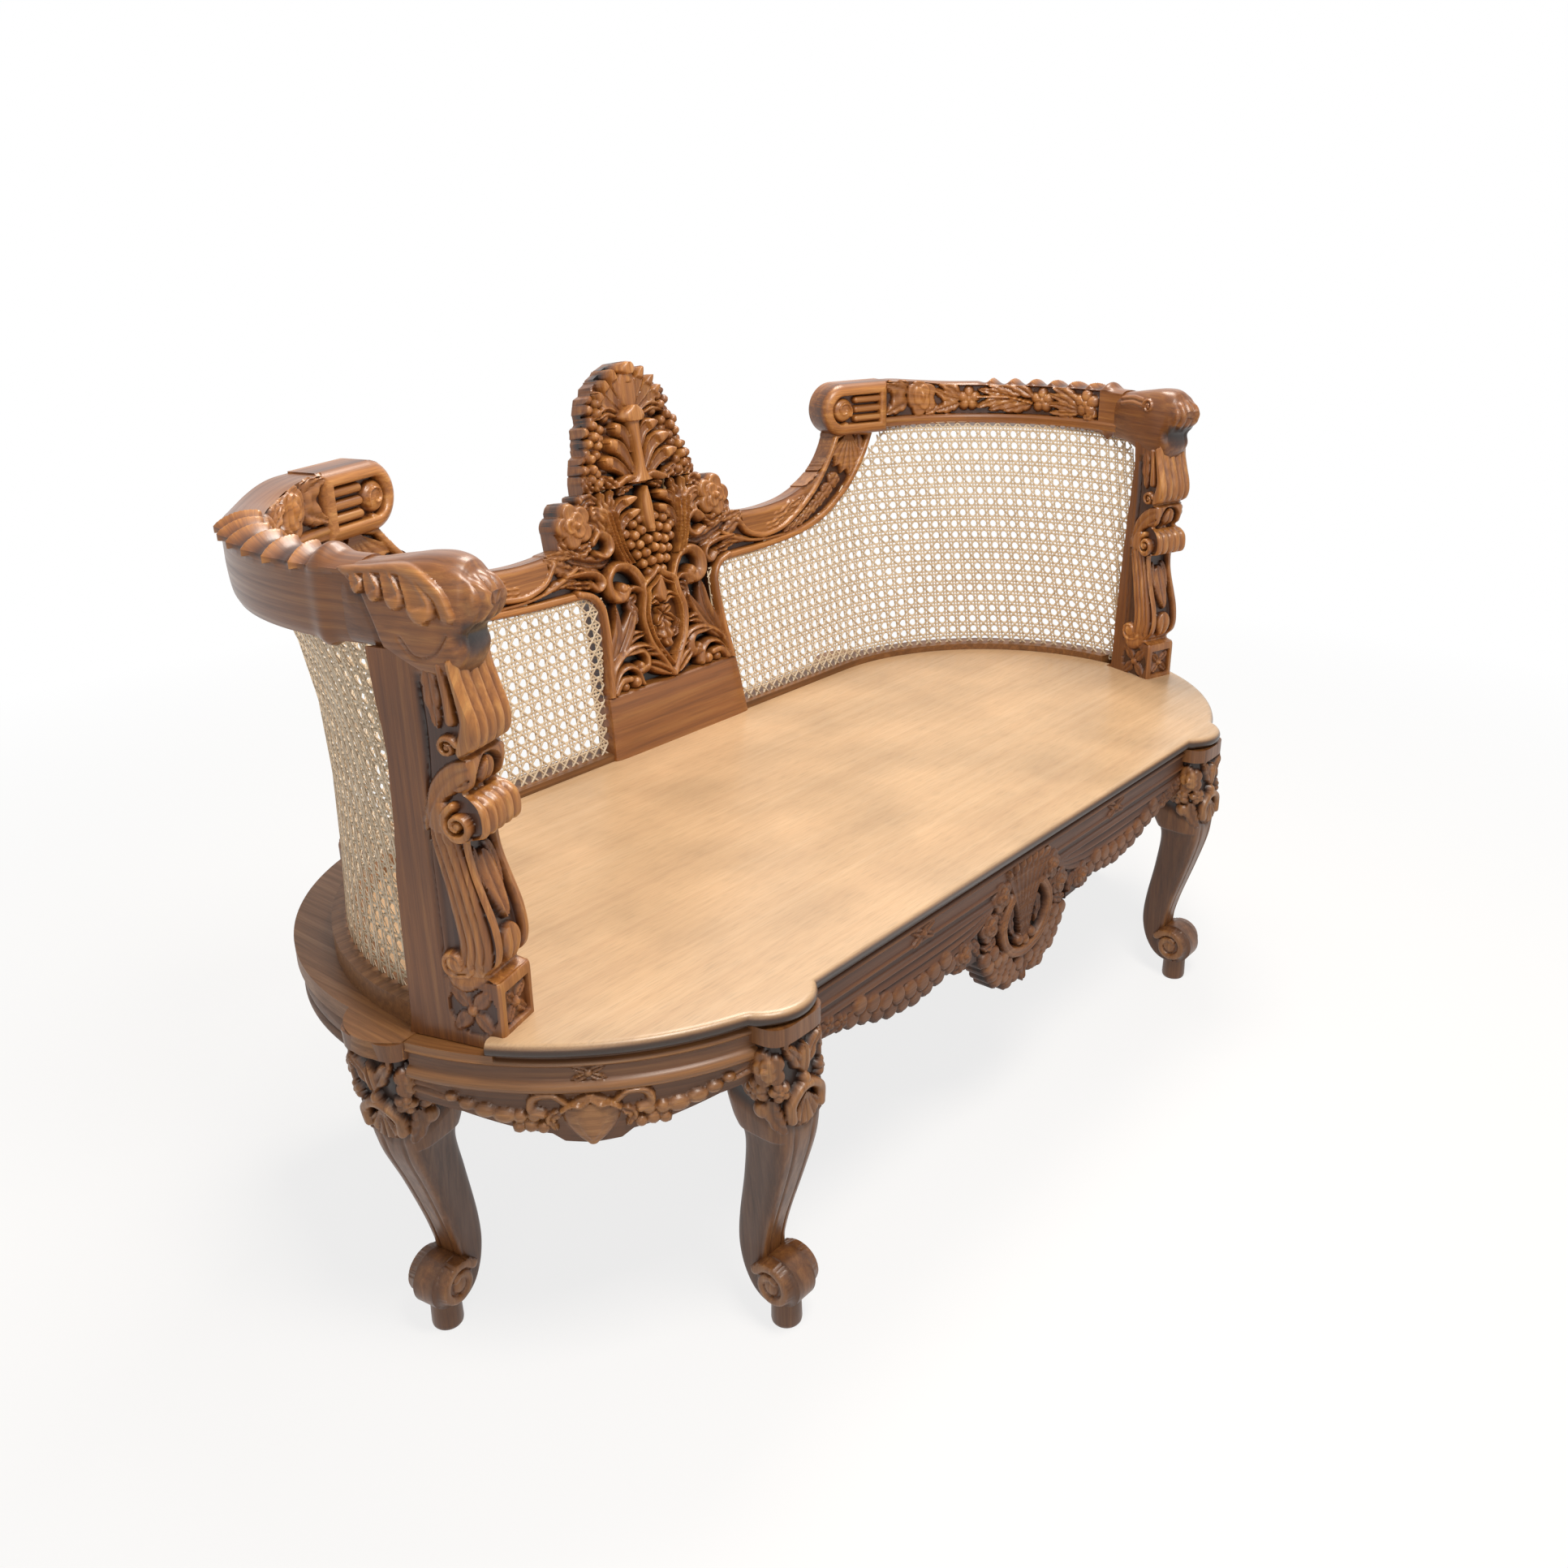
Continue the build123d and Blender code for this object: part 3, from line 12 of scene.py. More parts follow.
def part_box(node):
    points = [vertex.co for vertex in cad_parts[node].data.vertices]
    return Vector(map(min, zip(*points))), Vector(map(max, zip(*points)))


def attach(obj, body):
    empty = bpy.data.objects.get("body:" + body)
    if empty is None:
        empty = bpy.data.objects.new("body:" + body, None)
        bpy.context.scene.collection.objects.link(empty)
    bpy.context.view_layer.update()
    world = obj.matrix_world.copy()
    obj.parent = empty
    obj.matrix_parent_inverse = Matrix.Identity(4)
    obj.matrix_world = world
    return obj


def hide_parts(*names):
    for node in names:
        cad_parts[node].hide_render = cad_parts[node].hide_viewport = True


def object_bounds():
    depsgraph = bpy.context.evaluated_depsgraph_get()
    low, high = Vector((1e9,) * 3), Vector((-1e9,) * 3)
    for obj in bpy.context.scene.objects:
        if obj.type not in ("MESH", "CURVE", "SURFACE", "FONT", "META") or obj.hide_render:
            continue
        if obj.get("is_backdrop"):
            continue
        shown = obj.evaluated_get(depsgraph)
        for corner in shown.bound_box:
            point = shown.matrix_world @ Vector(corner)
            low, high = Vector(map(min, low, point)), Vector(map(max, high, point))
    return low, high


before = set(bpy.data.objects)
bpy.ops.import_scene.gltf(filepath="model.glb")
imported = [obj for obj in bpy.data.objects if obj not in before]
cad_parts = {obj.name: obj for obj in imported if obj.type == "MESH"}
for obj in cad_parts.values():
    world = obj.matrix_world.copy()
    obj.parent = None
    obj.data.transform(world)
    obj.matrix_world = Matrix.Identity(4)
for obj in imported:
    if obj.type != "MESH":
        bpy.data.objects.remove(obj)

MM = 0.001
cad_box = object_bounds()
print("frame:", len(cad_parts), "nodes, box", [round(side, 3) for side in cad_box[1] - cad_box[0]])

# %% [markdown]
# ## The camera
# The picture was taken from the front left, a little above arm height, with a phone's wide lens.
# Blender's camera looks along its own -Z, so the turn is built from the three directions it should have.
# A small shift keeps the seat where the picture frames it without turning the camera.

# %% Camera
CAMERA_PLACE = Vector((-1.4260, -1.1591, 1.1626))
CAMERA_YAW = 0.89561
CAMERA_PITCH = -0.38844
CAMERA_ROLL = -0.00555
CAMERA_LENS = 32.6
CAMERA_SHIFT = (-0.0265, -0.0032)
SENSOR_WIDTH = 36

ahead = Vector((
    np.sin(CAMERA_YAW) * np.cos(CAMERA_PITCH),
    np.cos(CAMERA_YAW) * np.cos(CAMERA_PITCH),
    np.sin(CAMERA_PITCH),
))
level_right = Vector((np.cos(CAMERA_YAW), -np.sin(CAMERA_YAW), 0))
level_up = level_right.cross(ahead)
right = level_right * np.cos(CAMERA_ROLL) + level_up * np.sin(CAMERA_ROLL)
up = level_up * np.cos(CAMERA_ROLL) - level_right * np.sin(CAMERA_ROLL)

lens = bpy.data.cameras.new("camera")
lens.lens = CAMERA_LENS
lens.sensor_width = SENSOR_WIDTH
lens.shift_x, lens.shift_y = CAMERA_SHIFT
camera = bpy.data.objects.new("camera", lens)
turn = Matrix((right, up, -ahead)).transposed().to_4x4()
camera.matrix_world = Matrix.Translation(CAMERA_PLACE) @ turn
bpy.context.scene.collection.objects.link(camera)
bpy.context.scene.camera = camera
bpy.context.scene.view_settings.view_transform = "Standard"
print("camera:", round(lens.lens, 1), "mm lens at", [round(x, 2) for x in CAMERA_PLACE])

# %% [markdown]
# ## Colours and nodes
# Colours are picked on screen as sRGB hex values, but Cycles mixes light in linear values, so one
# function turns the first into the second. One more adds a shader node: its options, its inputs and,
# on a colour ramp, its stops.


# %% Colour and node helpers
def linear(colour):
    """An sRGB hex colour as a linear colour with full alpha."""
    parts = [int(colour[start:start + 2], 16) / 255 for start in (1, 3, 5)]
    return [*(p / 12.92 if p <= 0.04045 else ((p + 0.055) / 1.055) ** 2.4 for p in parts), 1.0]


def add_node(tree, kind, inputs=None, stops=None, **options):
    """Adds a node, sets its options, and fills its inputs with values or other nodes' outputs."""
    made = tree.nodes.new(kind)
    for option, value in options.items():
        setattr(made, option, value)
    for socket, value in (inputs or {}).items():
        if isinstance(value, bpy.types.NodeSocket):
            tree.links.new(value, made.inputs[socket])
        else:
            made.inputs[socket].default_value = value
    for spot, (place, colour) in enumerate(stops or []):
        elements = made.color_ramp.elements
        stop = elements[spot] if spot < 2 else elements.new(place)
        stop.position = place
        stop.color = linear(colour)
    return made


def new_material(name):
    """An empty node material and its tree."""
    material = bpy.data.materials.new(name)
    material.use_nodes = True
    material.node_tree.nodes.clear()
    return material, material.node_tree


def per_mm(*sizes):
    """Texture scale per metre for features of these sizes in millimetres."""
    return tuple(1000 / size for size in sizes)


print("mid teak in linear light:", [round(c, 3) for c in linear("#8a5a2d")])

# %% [markdown]
# ## Floor and light
# A plain pale floor carries the seat's shadow and fades to white away from it. The world is white to the
# camera and in reflections, and a weak warm glow to everything else. Two soft lamps overhead do what
# shop ceiling lights do: they brighten the seat and leave the apron dark. A weaker lamp on the
# camera's side opens the shadows in the carving.

# %% Floor and light
FLOOR_SIZE = 14.0
FLOOR_WHITENESS = 0.80
SHADOW_REACH = (1.0, 2.6)
AMBIENT_STRENGTH = 0.26
PURE_WHITE, CEILING_WHITE, SIDE_WHITE = "#ffffff", "#fff6ec", "#fff8f0"


def seen_rays(tree):
    """1 for rays that show the background itself: to the camera, in a gloss or through glass."""
    rays = add_node(tree, "ShaderNodeLightPath")
    seen = rays.outputs["Is Camera Ray"]
    for kind in ("Is Glossy Ray", "Is Transmission Ray"):
        either = add_node(tree, "ShaderNodeMath", {0: seen, 1: rays.outputs[kind]}, operation="MAXIMUM")
        seen = either.outputs[0]
    return seen


floor_mesh = bpy.data.meshes.new("floor")
corners = [(x * FLOOR_SIZE, y * FLOOR_SIZE, 0) for x, y in ((-1, -1), (1, -1), (1, 1), (-1, 1))]
floor_mesh.from_pydata(corners, [], [(0, 1, 2, 3)])
floor = bpy.data.objects.new("floor", floor_mesh)
bpy.context.scene.collection.objects.link(floor)
floor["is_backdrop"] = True
floor_paint, tree = new_material("pale_floor_paint")
mottle = add_node(tree, "ShaderNodeTexNoise", {"Scale": 3.0, "Detail": 3.0})
shade = add_node(
    tree, "ShaderNodeValToRGB", {0: mottle.outputs[0]}, stops=[(0.3, "#f3f2f0"), (0.7, "#f8f7f5")]
)
painted = add_node(tree, "ShaderNodeBsdfDiffuse", {"Color": shade.outputs[0]})
glow = add_node(tree, "ShaderNodeEmission", {"Color": linear(PURE_WHITE), "Strength": 1.0})
spot = add_node(tree, "ShaderNodeTexCoord").outputs["Object"]
away = add_node(tree, "ShaderNodeVectorMath", {0: spot}, operation="LENGTH").outputs["Value"]
whiteness = add_node(
    tree, "ShaderNodeMapRange",
    {0: away, 1: SHADOW_REACH[0], 2: SHADOW_REACH[1], 3: FLOOR_WHITENESS, 4: 1.0},
)
part = add_node(tree, "ShaderNodeMath", {0: seen_rays(tree), 1: whiteness.outputs[0]}, operation="MULTIPLY")
pale = add_node(
    tree, "ShaderNodeMixShader", {0: part.outputs[0], 1: painted.outputs[0], 2: glow.outputs[0]}
)
add_node(tree, "ShaderNodeOutputMaterial", {"Surface": pale.outputs[0]})
floor_mesh.materials.append(floor_paint)

world = bpy.data.worlds.new("studio")
bpy.context.scene.world = world
world.use_nodes = True
tree = world.node_tree
tree.nodes.clear()
white = add_node(tree, "ShaderNodeBackground", {"Color": linear(PURE_WHITE), "Strength": 1.0})
ambient = add_node(tree, "ShaderNodeBackground", {"Color": linear("#fffaf4"), "Strength": AMBIENT_STRENGTH})
pick = add_node(
    tree, "ShaderNodeMixShader", {0: seen_rays(tree), 1: ambient.outputs[0], 2: white.outputs[0]}
)
add_node(tree, "ShaderNodeOutputWorld", {"Surface": pick.outputs[0]})


def soft_lamp(name, place, aim, size, power, colour):
    """A square soft box that faces a point."""
    light = bpy.data.lights.new(name, "AREA")
    light.size = size
    light.energy = power
    light.color = linear(colour)[:3]
    lamp = bpy.data.objects.new(name, light)
    lamp.location = place
    lamp.rotation_euler = (Vector(aim) - Vector(place)).to_track_quat("-Z", "Y").to_euler()
    bpy.context.scene.collection.objects.link(lamp)


soft_lamp("front_ceiling_lamp", (-0.6, -1.1, 2.5), (0, 0, 0.5), size=0.8, power=46, colour=CEILING_WHITE)
soft_lamp("rear_ceiling_lamp", (0.9, 0.4, 2.7), (0, 0, 0.4), size=0.9, power=44, colour=CEILING_WHITE)
soft_lamp("side_lamp", (-2.6, -1.8, 1.5), (0, 0, 0.5), size=1.6, power=12, colour=SIDE_WHITE)

# %% [markdown]
# ## Varnished teak
# Teak is a mid-brown hardwood with long darker growth bands and fine open pores that run with the
# grain. This seat was carved, stained and varnished to a satin sheen. Its hollows are made nearly black,
# partly for the stain that settles there and partly as painted shade, and its proud edges are left
# paler, partly for wear and partly as a painted highlight. The carved meshes carry two attributes:
# "grain", a place in the plank with its third axis along the grain, and "proud", from 0 in the deepest
# hollow to 1 on the highest edge. Solids kept from the frame take their own coordinates instead.
# The back takes the plain teak, the legs a browner and darker copy of it, and the frame and the front
# rail the darkest copies; these darker copies are painted shade for parts that stand in shade. The
# frame and the front rail are also the least glossy.


# %% Varnished teak
BAND_WIDTH_MM = 7.0
BAND_LENGTH_MM = 240.0
PORE_WIDTH_MM = 1.3
PORE_LENGTH_MM = 28.0
TONE_PATCH_MM = 140.0
SATIN, HALF_SATIN, NEARLY_MATT = 0.3, 0.2, 0.04


def teak_finish(name, dark, mid, pale, turn=None, bands=(BAND_WIDTH_MM, BAND_LENGTH_MM), varnish=SATIN):
    """Varnished teak. With a turn it reads the object's own coordinates, turned so that Z is the grain."""
    material, tree = new_material(name)
    if turn is None:
        place = add_node(tree, "ShaderNodeAttribute", attribute_name="grain").outputs["Vector"]
        proud = add_node(tree, "ShaderNodeAttribute", attribute_name="proud").outputs["Fac"]
    else:
        own = add_node(tree, "ShaderNodeTexCoord").outputs["Object"]
        place = add_node(tree, "ShaderNodeMapping", {"Vector": own, "Rotation": turn}).outputs[0]
        # Pointiness stands in for proudness here: hollows darker, partly for stain and partly as painted
        # shade, and edges paler, partly for wear and partly as a painted highlight.
        edges = add_node(tree, "ShaderNodeNewGeometry").outputs["Pointiness"]
        wear_and_shade = add_node(tree, "ShaderNodeMapRange", {0: edges, 1: 0.44, 2: 0.56, 3: 0.35, 4: 0.95})
        proud = wear_and_shade.outputs[0]
    stretch = per_mm(bands[0], bands[0], bands[1])
    banded = add_node(tree, "ShaderNodeMapping", {"Vector": place, "Scale": stretch})
    growth = add_node(
        tree, "ShaderNodeTexNoise",
        {"Vector": banded.outputs[0], "Scale": 1.0, "Detail": 5.0, "Roughness": 0.62, "Distortion": 0.5},
    )
    colour = add_node(
        tree, "ShaderNodeValToRGB", {0: growth.outputs[0]}, stops=[(0.28, dark), (0.76, pale), (0.52, mid)]
    )
    patches = add_node(
        tree, "ShaderNodeTexNoise", {"Vector": place, "Scale": per_mm(TONE_PATCH_MM)[0], "Detail": 2.0}
    )
    tone = add_node(tree, "ShaderNodeMapRange", {0: patches.outputs[0], 1: 0.3, 2: 0.7, 3: 0.86, 4: 1.12})
    stretch = per_mm(PORE_WIDTH_MM, PORE_WIDTH_MM, PORE_LENGTH_MM)
    fine = add_node(tree, "ShaderNodeMapping", {"Vector": place, "Scale": stretch})
    pores = add_node(tree, "ShaderNodeTexNoise", {"Vector": fine.outputs[0], "Scale": 1.0, "Detail": 2.0})
    open_pores = add_node(tree, "ShaderNodeMapRange", {0: pores.outputs[0], 1: 0.36, 2: 0.5, 3: 0.86, 4: 1.0})
    value = add_node(
        tree, "ShaderNodeMath", {0: tone.outputs[0], 1: open_pores.outputs[0]}, operation="MULTIPLY"
    )
    toned = add_node(tree, "ShaderNodeHueSaturation", {"Value": value.outputs[0], "Color": colour.outputs[0]})
    # Over proudness the hollows go nearly black, partly for stain and partly as painted shade, and the
    # highest edges keep the full colour, partly for wear and partly as a painted highlight.
    stain_and_shade_ramp = add_node(
        tree, "ShaderNodeValToRGB", {0: proud},
        stops=[(0.0, "#140c08"), (1.0, "#ffffff"), (0.32, "#6a5646"), (0.64, "#c2b4a6")],
    )
    stain_and_shade_mix = add_node(
        tree, "ShaderNodeMix", {"Factor": 1.0, 6: toned.outputs[0], 7: stain_and_shade_ramp.outputs[0]},
        data_type="RGBA", blend_type="MULTIPLY",
    )
    sheen = add_node(
        tree, "ShaderNodeMapRange",
        {0: growth.outputs[0], 1: 0.3, 2: 0.7, 3: 0.58 - 0.4 * varnish, 4: 0.46 - 0.4 * varnish},
    )
    dents = add_node(
        tree, "ShaderNodeBump", {"Height": pores.outputs[0], "Strength": 0.18, "Distance": 0.0004}
    )
    wood = add_node(
        tree, "ShaderNodeBsdfPrincipled",
        {
            "Base Color": stain_and_shade_mix.outputs[2], "Roughness": sheen.outputs[0], "Normal": dents.outputs[0],
            "IOR": 1.5, "Coat Weight": varnish, "Coat Roughness": 0.22,
        },
    )
    add_node(tree, "ShaderNodeOutputMaterial", {"Surface": wood.outputs[0]})
    return material


# TEAK_HEX is the wood's own colour. The leg, frame and dark colours below are darker copies of it, painted
# shade for parts that stand in shade under the seat and the arms.
TEAK_HEX = ("#855227", "#b0753a", "#d69f5b")
LEG_SHADE_TEAK_HEX = ("#78502b", "#9a6a3c", "#ba8b54")
FRAME_SHADE_TEAK_HEX = ("#654223", "#81562f", "#9c6f41")
DEEP_SHADE_TEAK_HEX = ("#5d3616", "#76481f", "#905f2e")
ALONG_X = (0, np.pi / 2, 0)
ALONG_Y = (np.pi / 2, 0, 0)
ALONG_Z = (0, 0, 0)
teak = teak_finish("varnished_teak_carved", *TEAK_HEX)
deep_shade_teak = teak_finish("varnished_teak_deep_painted_shade_carved", *DEEP_SHADE_TEAK_HEX, varnish=NEARLY_MATT)
leg_shade_teak = teak_finish("varnished_teak_legs_painted_shade", *LEG_SHADE_TEAK_HEX, varnish=HALF_SATIN)
frame_shade_teak = [
    teak_finish("varnished_teak_" + way, *FRAME_SHADE_TEAK_HEX, turn=turn, varnish=NEARLY_MATT)
    for way, turn in (("along_seat", ALONG_X), ("across_seat", ALONG_Y), ("upright", ALONG_Z))
]
print("teak finishes:", [m.name for m in (teak, deep_shade_teak, leg_shade_teak, *frame_shade_teak)])

# %% [markdown]
# ## Making a piece
# A carved piece arrives as arrays: points in millimetres, faces, and the two attributes that the teak
# reads. One function makes the mesh and hands it to the frame, so no piece can be forgotten there.
# Most pieces come in pairs, so a second function makes the right-hand one and its mirror image.


# %% Piece helpers
PLAIN_PROUD = 0.7


def add_piece(name, points, faces, finish, slot, stands_for=(), grain=None, proud=None, crease=38):
    """Makes a mesh piece from arrays in millimetres, and has it ride on the frame."""
    mesh = bpy.data.meshes.new(name)
    mesh.from_pydata((np.asarray(points) * MM).tolist(), [], [list(map(int, f)) for f in faces])
    grain = points if grain is None else grain
    layer = mesh.attributes.new("grain", "FLOAT_VECTOR", "POINT")
    layer.data.foreach_set("vector", (np.asarray(grain) * MM).astype(np.float32).ravel())
    layer = mesh.attributes.new("proud", "FLOAT", "POINT")
    proud = np.full(len(points), PLAIN_PROUD) if proud is None else proud
    layer.data.foreach_set("value", np.asarray(proud, np.float32))
    mesh.polygons.foreach_set("use_smooth", np.ones(len(mesh.polygons), bool))
    mesh.set_sharp_from_angle(angle=np.radians(crease))
    mesh.materials.append(finish)
    piece = bpy.data.objects.new(name, mesh)
    bpy.context.scene.collection.objects.link(piece)
    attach(piece, "root")
    if stands_for:
        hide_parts(*stands_for)
    return piece


def add_pair(name, points, faces, finish, slot, stands_for=(), **attributes):
    """The right-hand piece and its mirror image, which stand for the right and left solids named."""
    for hand, side in (("right", 1), ("left", -1)):
        nodes = [f"{hand}_{node}" for node in stands_for]
        turned = [f[::side] for f in faces]
        placed = np.asarray(points) * (side, 1, 1)
        add_piece(f"{hand}_{name}", placed, turned, finish, slot, nodes, **attributes)
    print(name, "pair:", len(points), "points each")


# %% [markdown]
# ## Relief carving
# A carver starts from a sawn board, draws the pattern on it and cuts the ground away. The same is done
# here on a fine grid: u runs along the board and v across it, h is the height of the wood and f is how
# far inside the outline a spot lies. Each carved form raises h to its own height where it is the higher,
# and where it hangs over the edge it widens the outline. A sculpted mesh would need a hand at a tablet;
# the grid needs only the places and sizes of the forms.


# %% The carver's ground
FAR_INSIDE = 1e3
GRID_MM = 1.15


class Ground:
    """Wood to carve, in millimetres: places u and v, height h, and depth inside the outline f."""

    def __init__(self, u, v, floor, mirrored=False):
        self.shape = u.shape
        self.floor = floor
        self.true_u = u.ravel()
        self.u = np.abs(self.true_u) if mirrored else self.true_u
        self.v = v.ravel()
        self.h = np.full(u.size, float(floor))
        self.f = np.full(u.size, FAR_INSIDE)

    def near(self, points, reach):
        """The grid spots in the box round some points."""
        points = np.atleast_2d(points)
        low, high = points.min(0) - reach, points.max(0) + reach
        inside = (self.u > low[0]) & (self.u < high[0]) & (self.v > low[1]) & (self.v < high[1])
        return np.flatnonzero(inside)

    def lay(self, spots, share, top, edge):
        """Lays a form: share is its height, 0 on the floor to 1 at its top, and edge how far inside it is."""
        rise = self.floor + (top - self.floor) * share
        self.h[spots] = np.where(edge > 0, np.maximum(self.h[spots], rise), self.h[spots])
        self.f[spots] = np.maximum(self.f[spots], edge)


def grid_line(start, end, step=GRID_MM):
    """Evenly spaced grid places from start to end."""
    return np.linspace(start, end, int(round((end - start) / step)) + 1)


def board(u_range, v_range, floor, mirrored=False, step=GRID_MM):
    """A flat board's ground on an even grid."""
    u, v = np.meshgrid(grid_line(*u_range, step), grid_line(*v_range, step))
    return Ground(u, v, floor, mirrored)


def smooth(points, steps=10):
    """A smooth line through a few points."""
    p = np.asarray(points, float)
    p = np.vstack([2 * p[0] - p[1], p, 2 * p[-1] - p[-2]])
    t = np.linspace(0, 1, steps, endpoint=False)[:, None]
    spans = []
    for a, b, c, d in zip(p, p[1:], p[2:], p[3:]):
        bend = 2 * a - 5 * b + 4 * c - d
        twist = 3 * b - a - 3 * c + d
        spans.append(0.5 * (2 * b + (c - a) * t + bend * t**2 + twist * t**3))
    return np.vstack([*spans, p[-2:-1]])


def follow(line, u, v):
    """How far along a line, 0 to 1, the nearest place to each spot is, and how far off to its left."""
    start, run = line[:-1], np.diff(line, axis=0)
    length = np.hypot(run[:, 0], run[:, 1])
    du, dv = u[:, None] - start[:, 0], v[:, None] - start[:, 1]
    share = np.clip((du * run[:, 0] + dv * run[:, 1]) / length**2, 0, 1)
    gap = np.hypot(du - share * run[:, 0], dv - share * run[:, 1])
    nearest = gap.argmin(1)
    row = np.arange(len(u))
    side = np.where(run[nearest, 0] * dv[row, nearest] < run[nearest, 1] * du[row, nearest], -1, 1)
    before = np.cumsum(length) - length
    along = (before[nearest] + share[row, nearest] * length[nearest]) / length.sum()
    return along, gap[row, nearest] * side


print("carver's ground ready")


# %% [markdown]
# ## From ground to wood
# The grid cells inside the outline become faces. The points on the rim are first slid onto the true
# outline, so that its edge is smooth and not stepped, then walls go back to a flat rear face.


# %% Cutting the relief out
RIM_REACH, RIM_SLIDE = 1.5, 0.7
REAR_PROUD = 0.6
PROUD_CURVE = 0.75


def cut_out(ground, place, back, top):
    """Points, faces, grain and proudness of a carved board. place turns (u, v, h) into (x, y, z)."""
    f = ground.f.reshape(ground.shape)
    keep = (f[:-1, :-1] + f[1:, :-1] + f[:-1, 1:] + f[1:, 1:]) > 0
    held = np.pad(keep, 1).astype(int)
    touch = held[:-1, :-1] + held[1:, :-1] + held[:-1, 1:] + held[1:, 1:]
    cell = ground.true_u[1] - ground.true_u[0]
    slope_v, slope_u = np.gradient(f, cell)
    slope = np.hypot(slope_u, slope_v) + 1e-6
    on_rim = (touch < 4) & (np.abs(f) < RIM_REACH * cell * slope)
    step = np.where(on_rim, np.clip(-f / slope, -RIM_SLIDE * cell, RIM_SLIDE * cell), 0)
    used = touch > 0
    u = (ground.true_u.reshape(ground.shape) + step * slope_u / slope)[used]
    v = (ground.v.reshape(ground.shape) + step * slope_v / slope)[used]
    count = int(used.sum())
    index = np.full(ground.shape, -1)
    index[used] = np.arange(count)
    h = ground.h.reshape(ground.shape)[used]
    flat = np.full(count, float(back))
    quads = np.stack([index[:-1, :-1], index[:-1, 1:], index[1:, 1:], index[1:, :-1]], -1)[keep]
    walls = []
    for low, high, a, b in (
        (held[:-1, 1:-1], held[1:, 1:-1], index[:, :-1], index[:, 1:]),
        (held[1:-1, 1:], held[1:-1, :-1], index[:-1, :], index[1:, :]),
    ):
        for rim, first, second in (((low == 0) & (high == 1), b, a), ((low == 1) & (high == 0), a, b)):
            walls.append(np.stack([first[rim], second[rim], second[rim] + count, first[rim] + count], -1))
    faces = np.vstack([quads, quads[:, ::-1] + count, *walls])
    points = np.vstack([place(u, v, h), place(u, v, flat)])
    grain = np.vstack([np.column_stack([u, height, v]) for height in (h, flat)])
    level = np.clip((h - ground.floor) / (top - ground.floor), 0, 1) ** PROUD_CURVE
    return points, faces, grain, np.concatenate([level, np.full(count, REAR_PROUD)])


print("relief cutter ready")

# %% [markdown]
# ## The carver's forms
# Traditional carving is built from a small stock of forms: ribs and scrolls, acanthus leaves, hollow
# spoon-shaped fingers, berries, flowers and roses, and fans. Each is a formula for its outline and for
# its height across and along, written once and then set out by place and size.


# %% Ribs, scrolls and turned stems
def ease(x, start, end):
    """0 before the start, 1 after the end, smooth between."""
    t = np.clip((x - start) / (end - start), 0, 1)
    return t * t * (3 - 2 * t)


def round_over(s, power=2.4):
    """Cross profile of a rounded form: 1 in the middle and falling steeply to 0 at its edge."""
    return np.sqrt(np.clip(1 - np.abs(s) ** power, 0, 1))


def rib(ground, points, width, top, ends=(1.0, 1.0), groove=0.0, tilt=0.0, power=3.2):
    """A rounded rib along a smooth line, from one end's width to the other's, grooved or tilted left."""
    line = smooth(points)
    spots = ground.near(line, width)
    along, off = follow(line, ground.u[spots], ground.v[spots])
    half = width / 2 * (ends[0] + (ends[1] - ends[0]) * along)
    s = off / half
    sunk = 1 - groove * np.exp(-((s / 0.3) ** 2))
    share = round_over(s, power) * sunk * (1 + tilt * s) / (1 + abs(tilt))
    ground.lay(spots, share, top, half - np.abs(off))


def gouge(ground, points, width, depth):
    """A narrow line cut down into whatever stands there."""
    line = smooth(points)
    spots = ground.near(line, 3 * width)
    off = follow(line, ground.u[spots], ground.v[spots])[1]
    ground.h[spots] -= depth * np.exp(-((off / width) ** 2))


def dome(ground, centre, radii, top, power=2.4):
    """A raised oval with a rounded edge."""
    spots = ground.near(centre, max(radii) * 1.1)
    gap = np.hypot((ground.u[spots] - centre[0]) / radii[0], (ground.v[spots] - centre[1]) / radii[1])
    ground.lay(spots, round_over(gap, power), top, (1 - gap) * min(radii))


def spiral(centre, radius, eye, start, turns, steps=40):
    """Points of a spiral from an outer radius in to an eye; angles in turns, counter-clockwise positive."""
    t = np.linspace(0, 1, steps)
    angle = 2 * np.pi * (start + turns * t)
    reach = radius + (eye - radius) * t**0.8
    return np.column_stack([centre[0] + reach * np.cos(angle), centre[1] + reach * np.sin(angle)])


def scroll(ground, centre, radius, start, turns, width, top, groove=0.0):
    """A rolled volute: a tapering spiral rib round a button eye."""
    eye = width * 0.55
    rib(ground, spiral(centre, radius - width / 2, eye, start, turns)[::3], width, top, (1.0, 0.6), groove)
    berry(ground, centre, eye, top)


def berry(ground, centre, radius, top):
    """A berry, round but with one side pared flatter, as a gouge leaves it."""
    spots = ground.near(centre, radius * 1.5)
    du, dv = ground.u[spots] - centre[0], ground.v[spots] - centre[1]
    gap = np.hypot(du, dv)
    pared = 1.7 * centre[0] + 2.3 * centre[1]
    lean = (du * np.cos(pared) + dv * np.sin(pared)) / radius
    share = np.minimum(round_over(gap / radius, 2.0) ** 0.7, 0.97 - 0.16 * lean)
    ground.lay(spots, share, top, radius - gap)


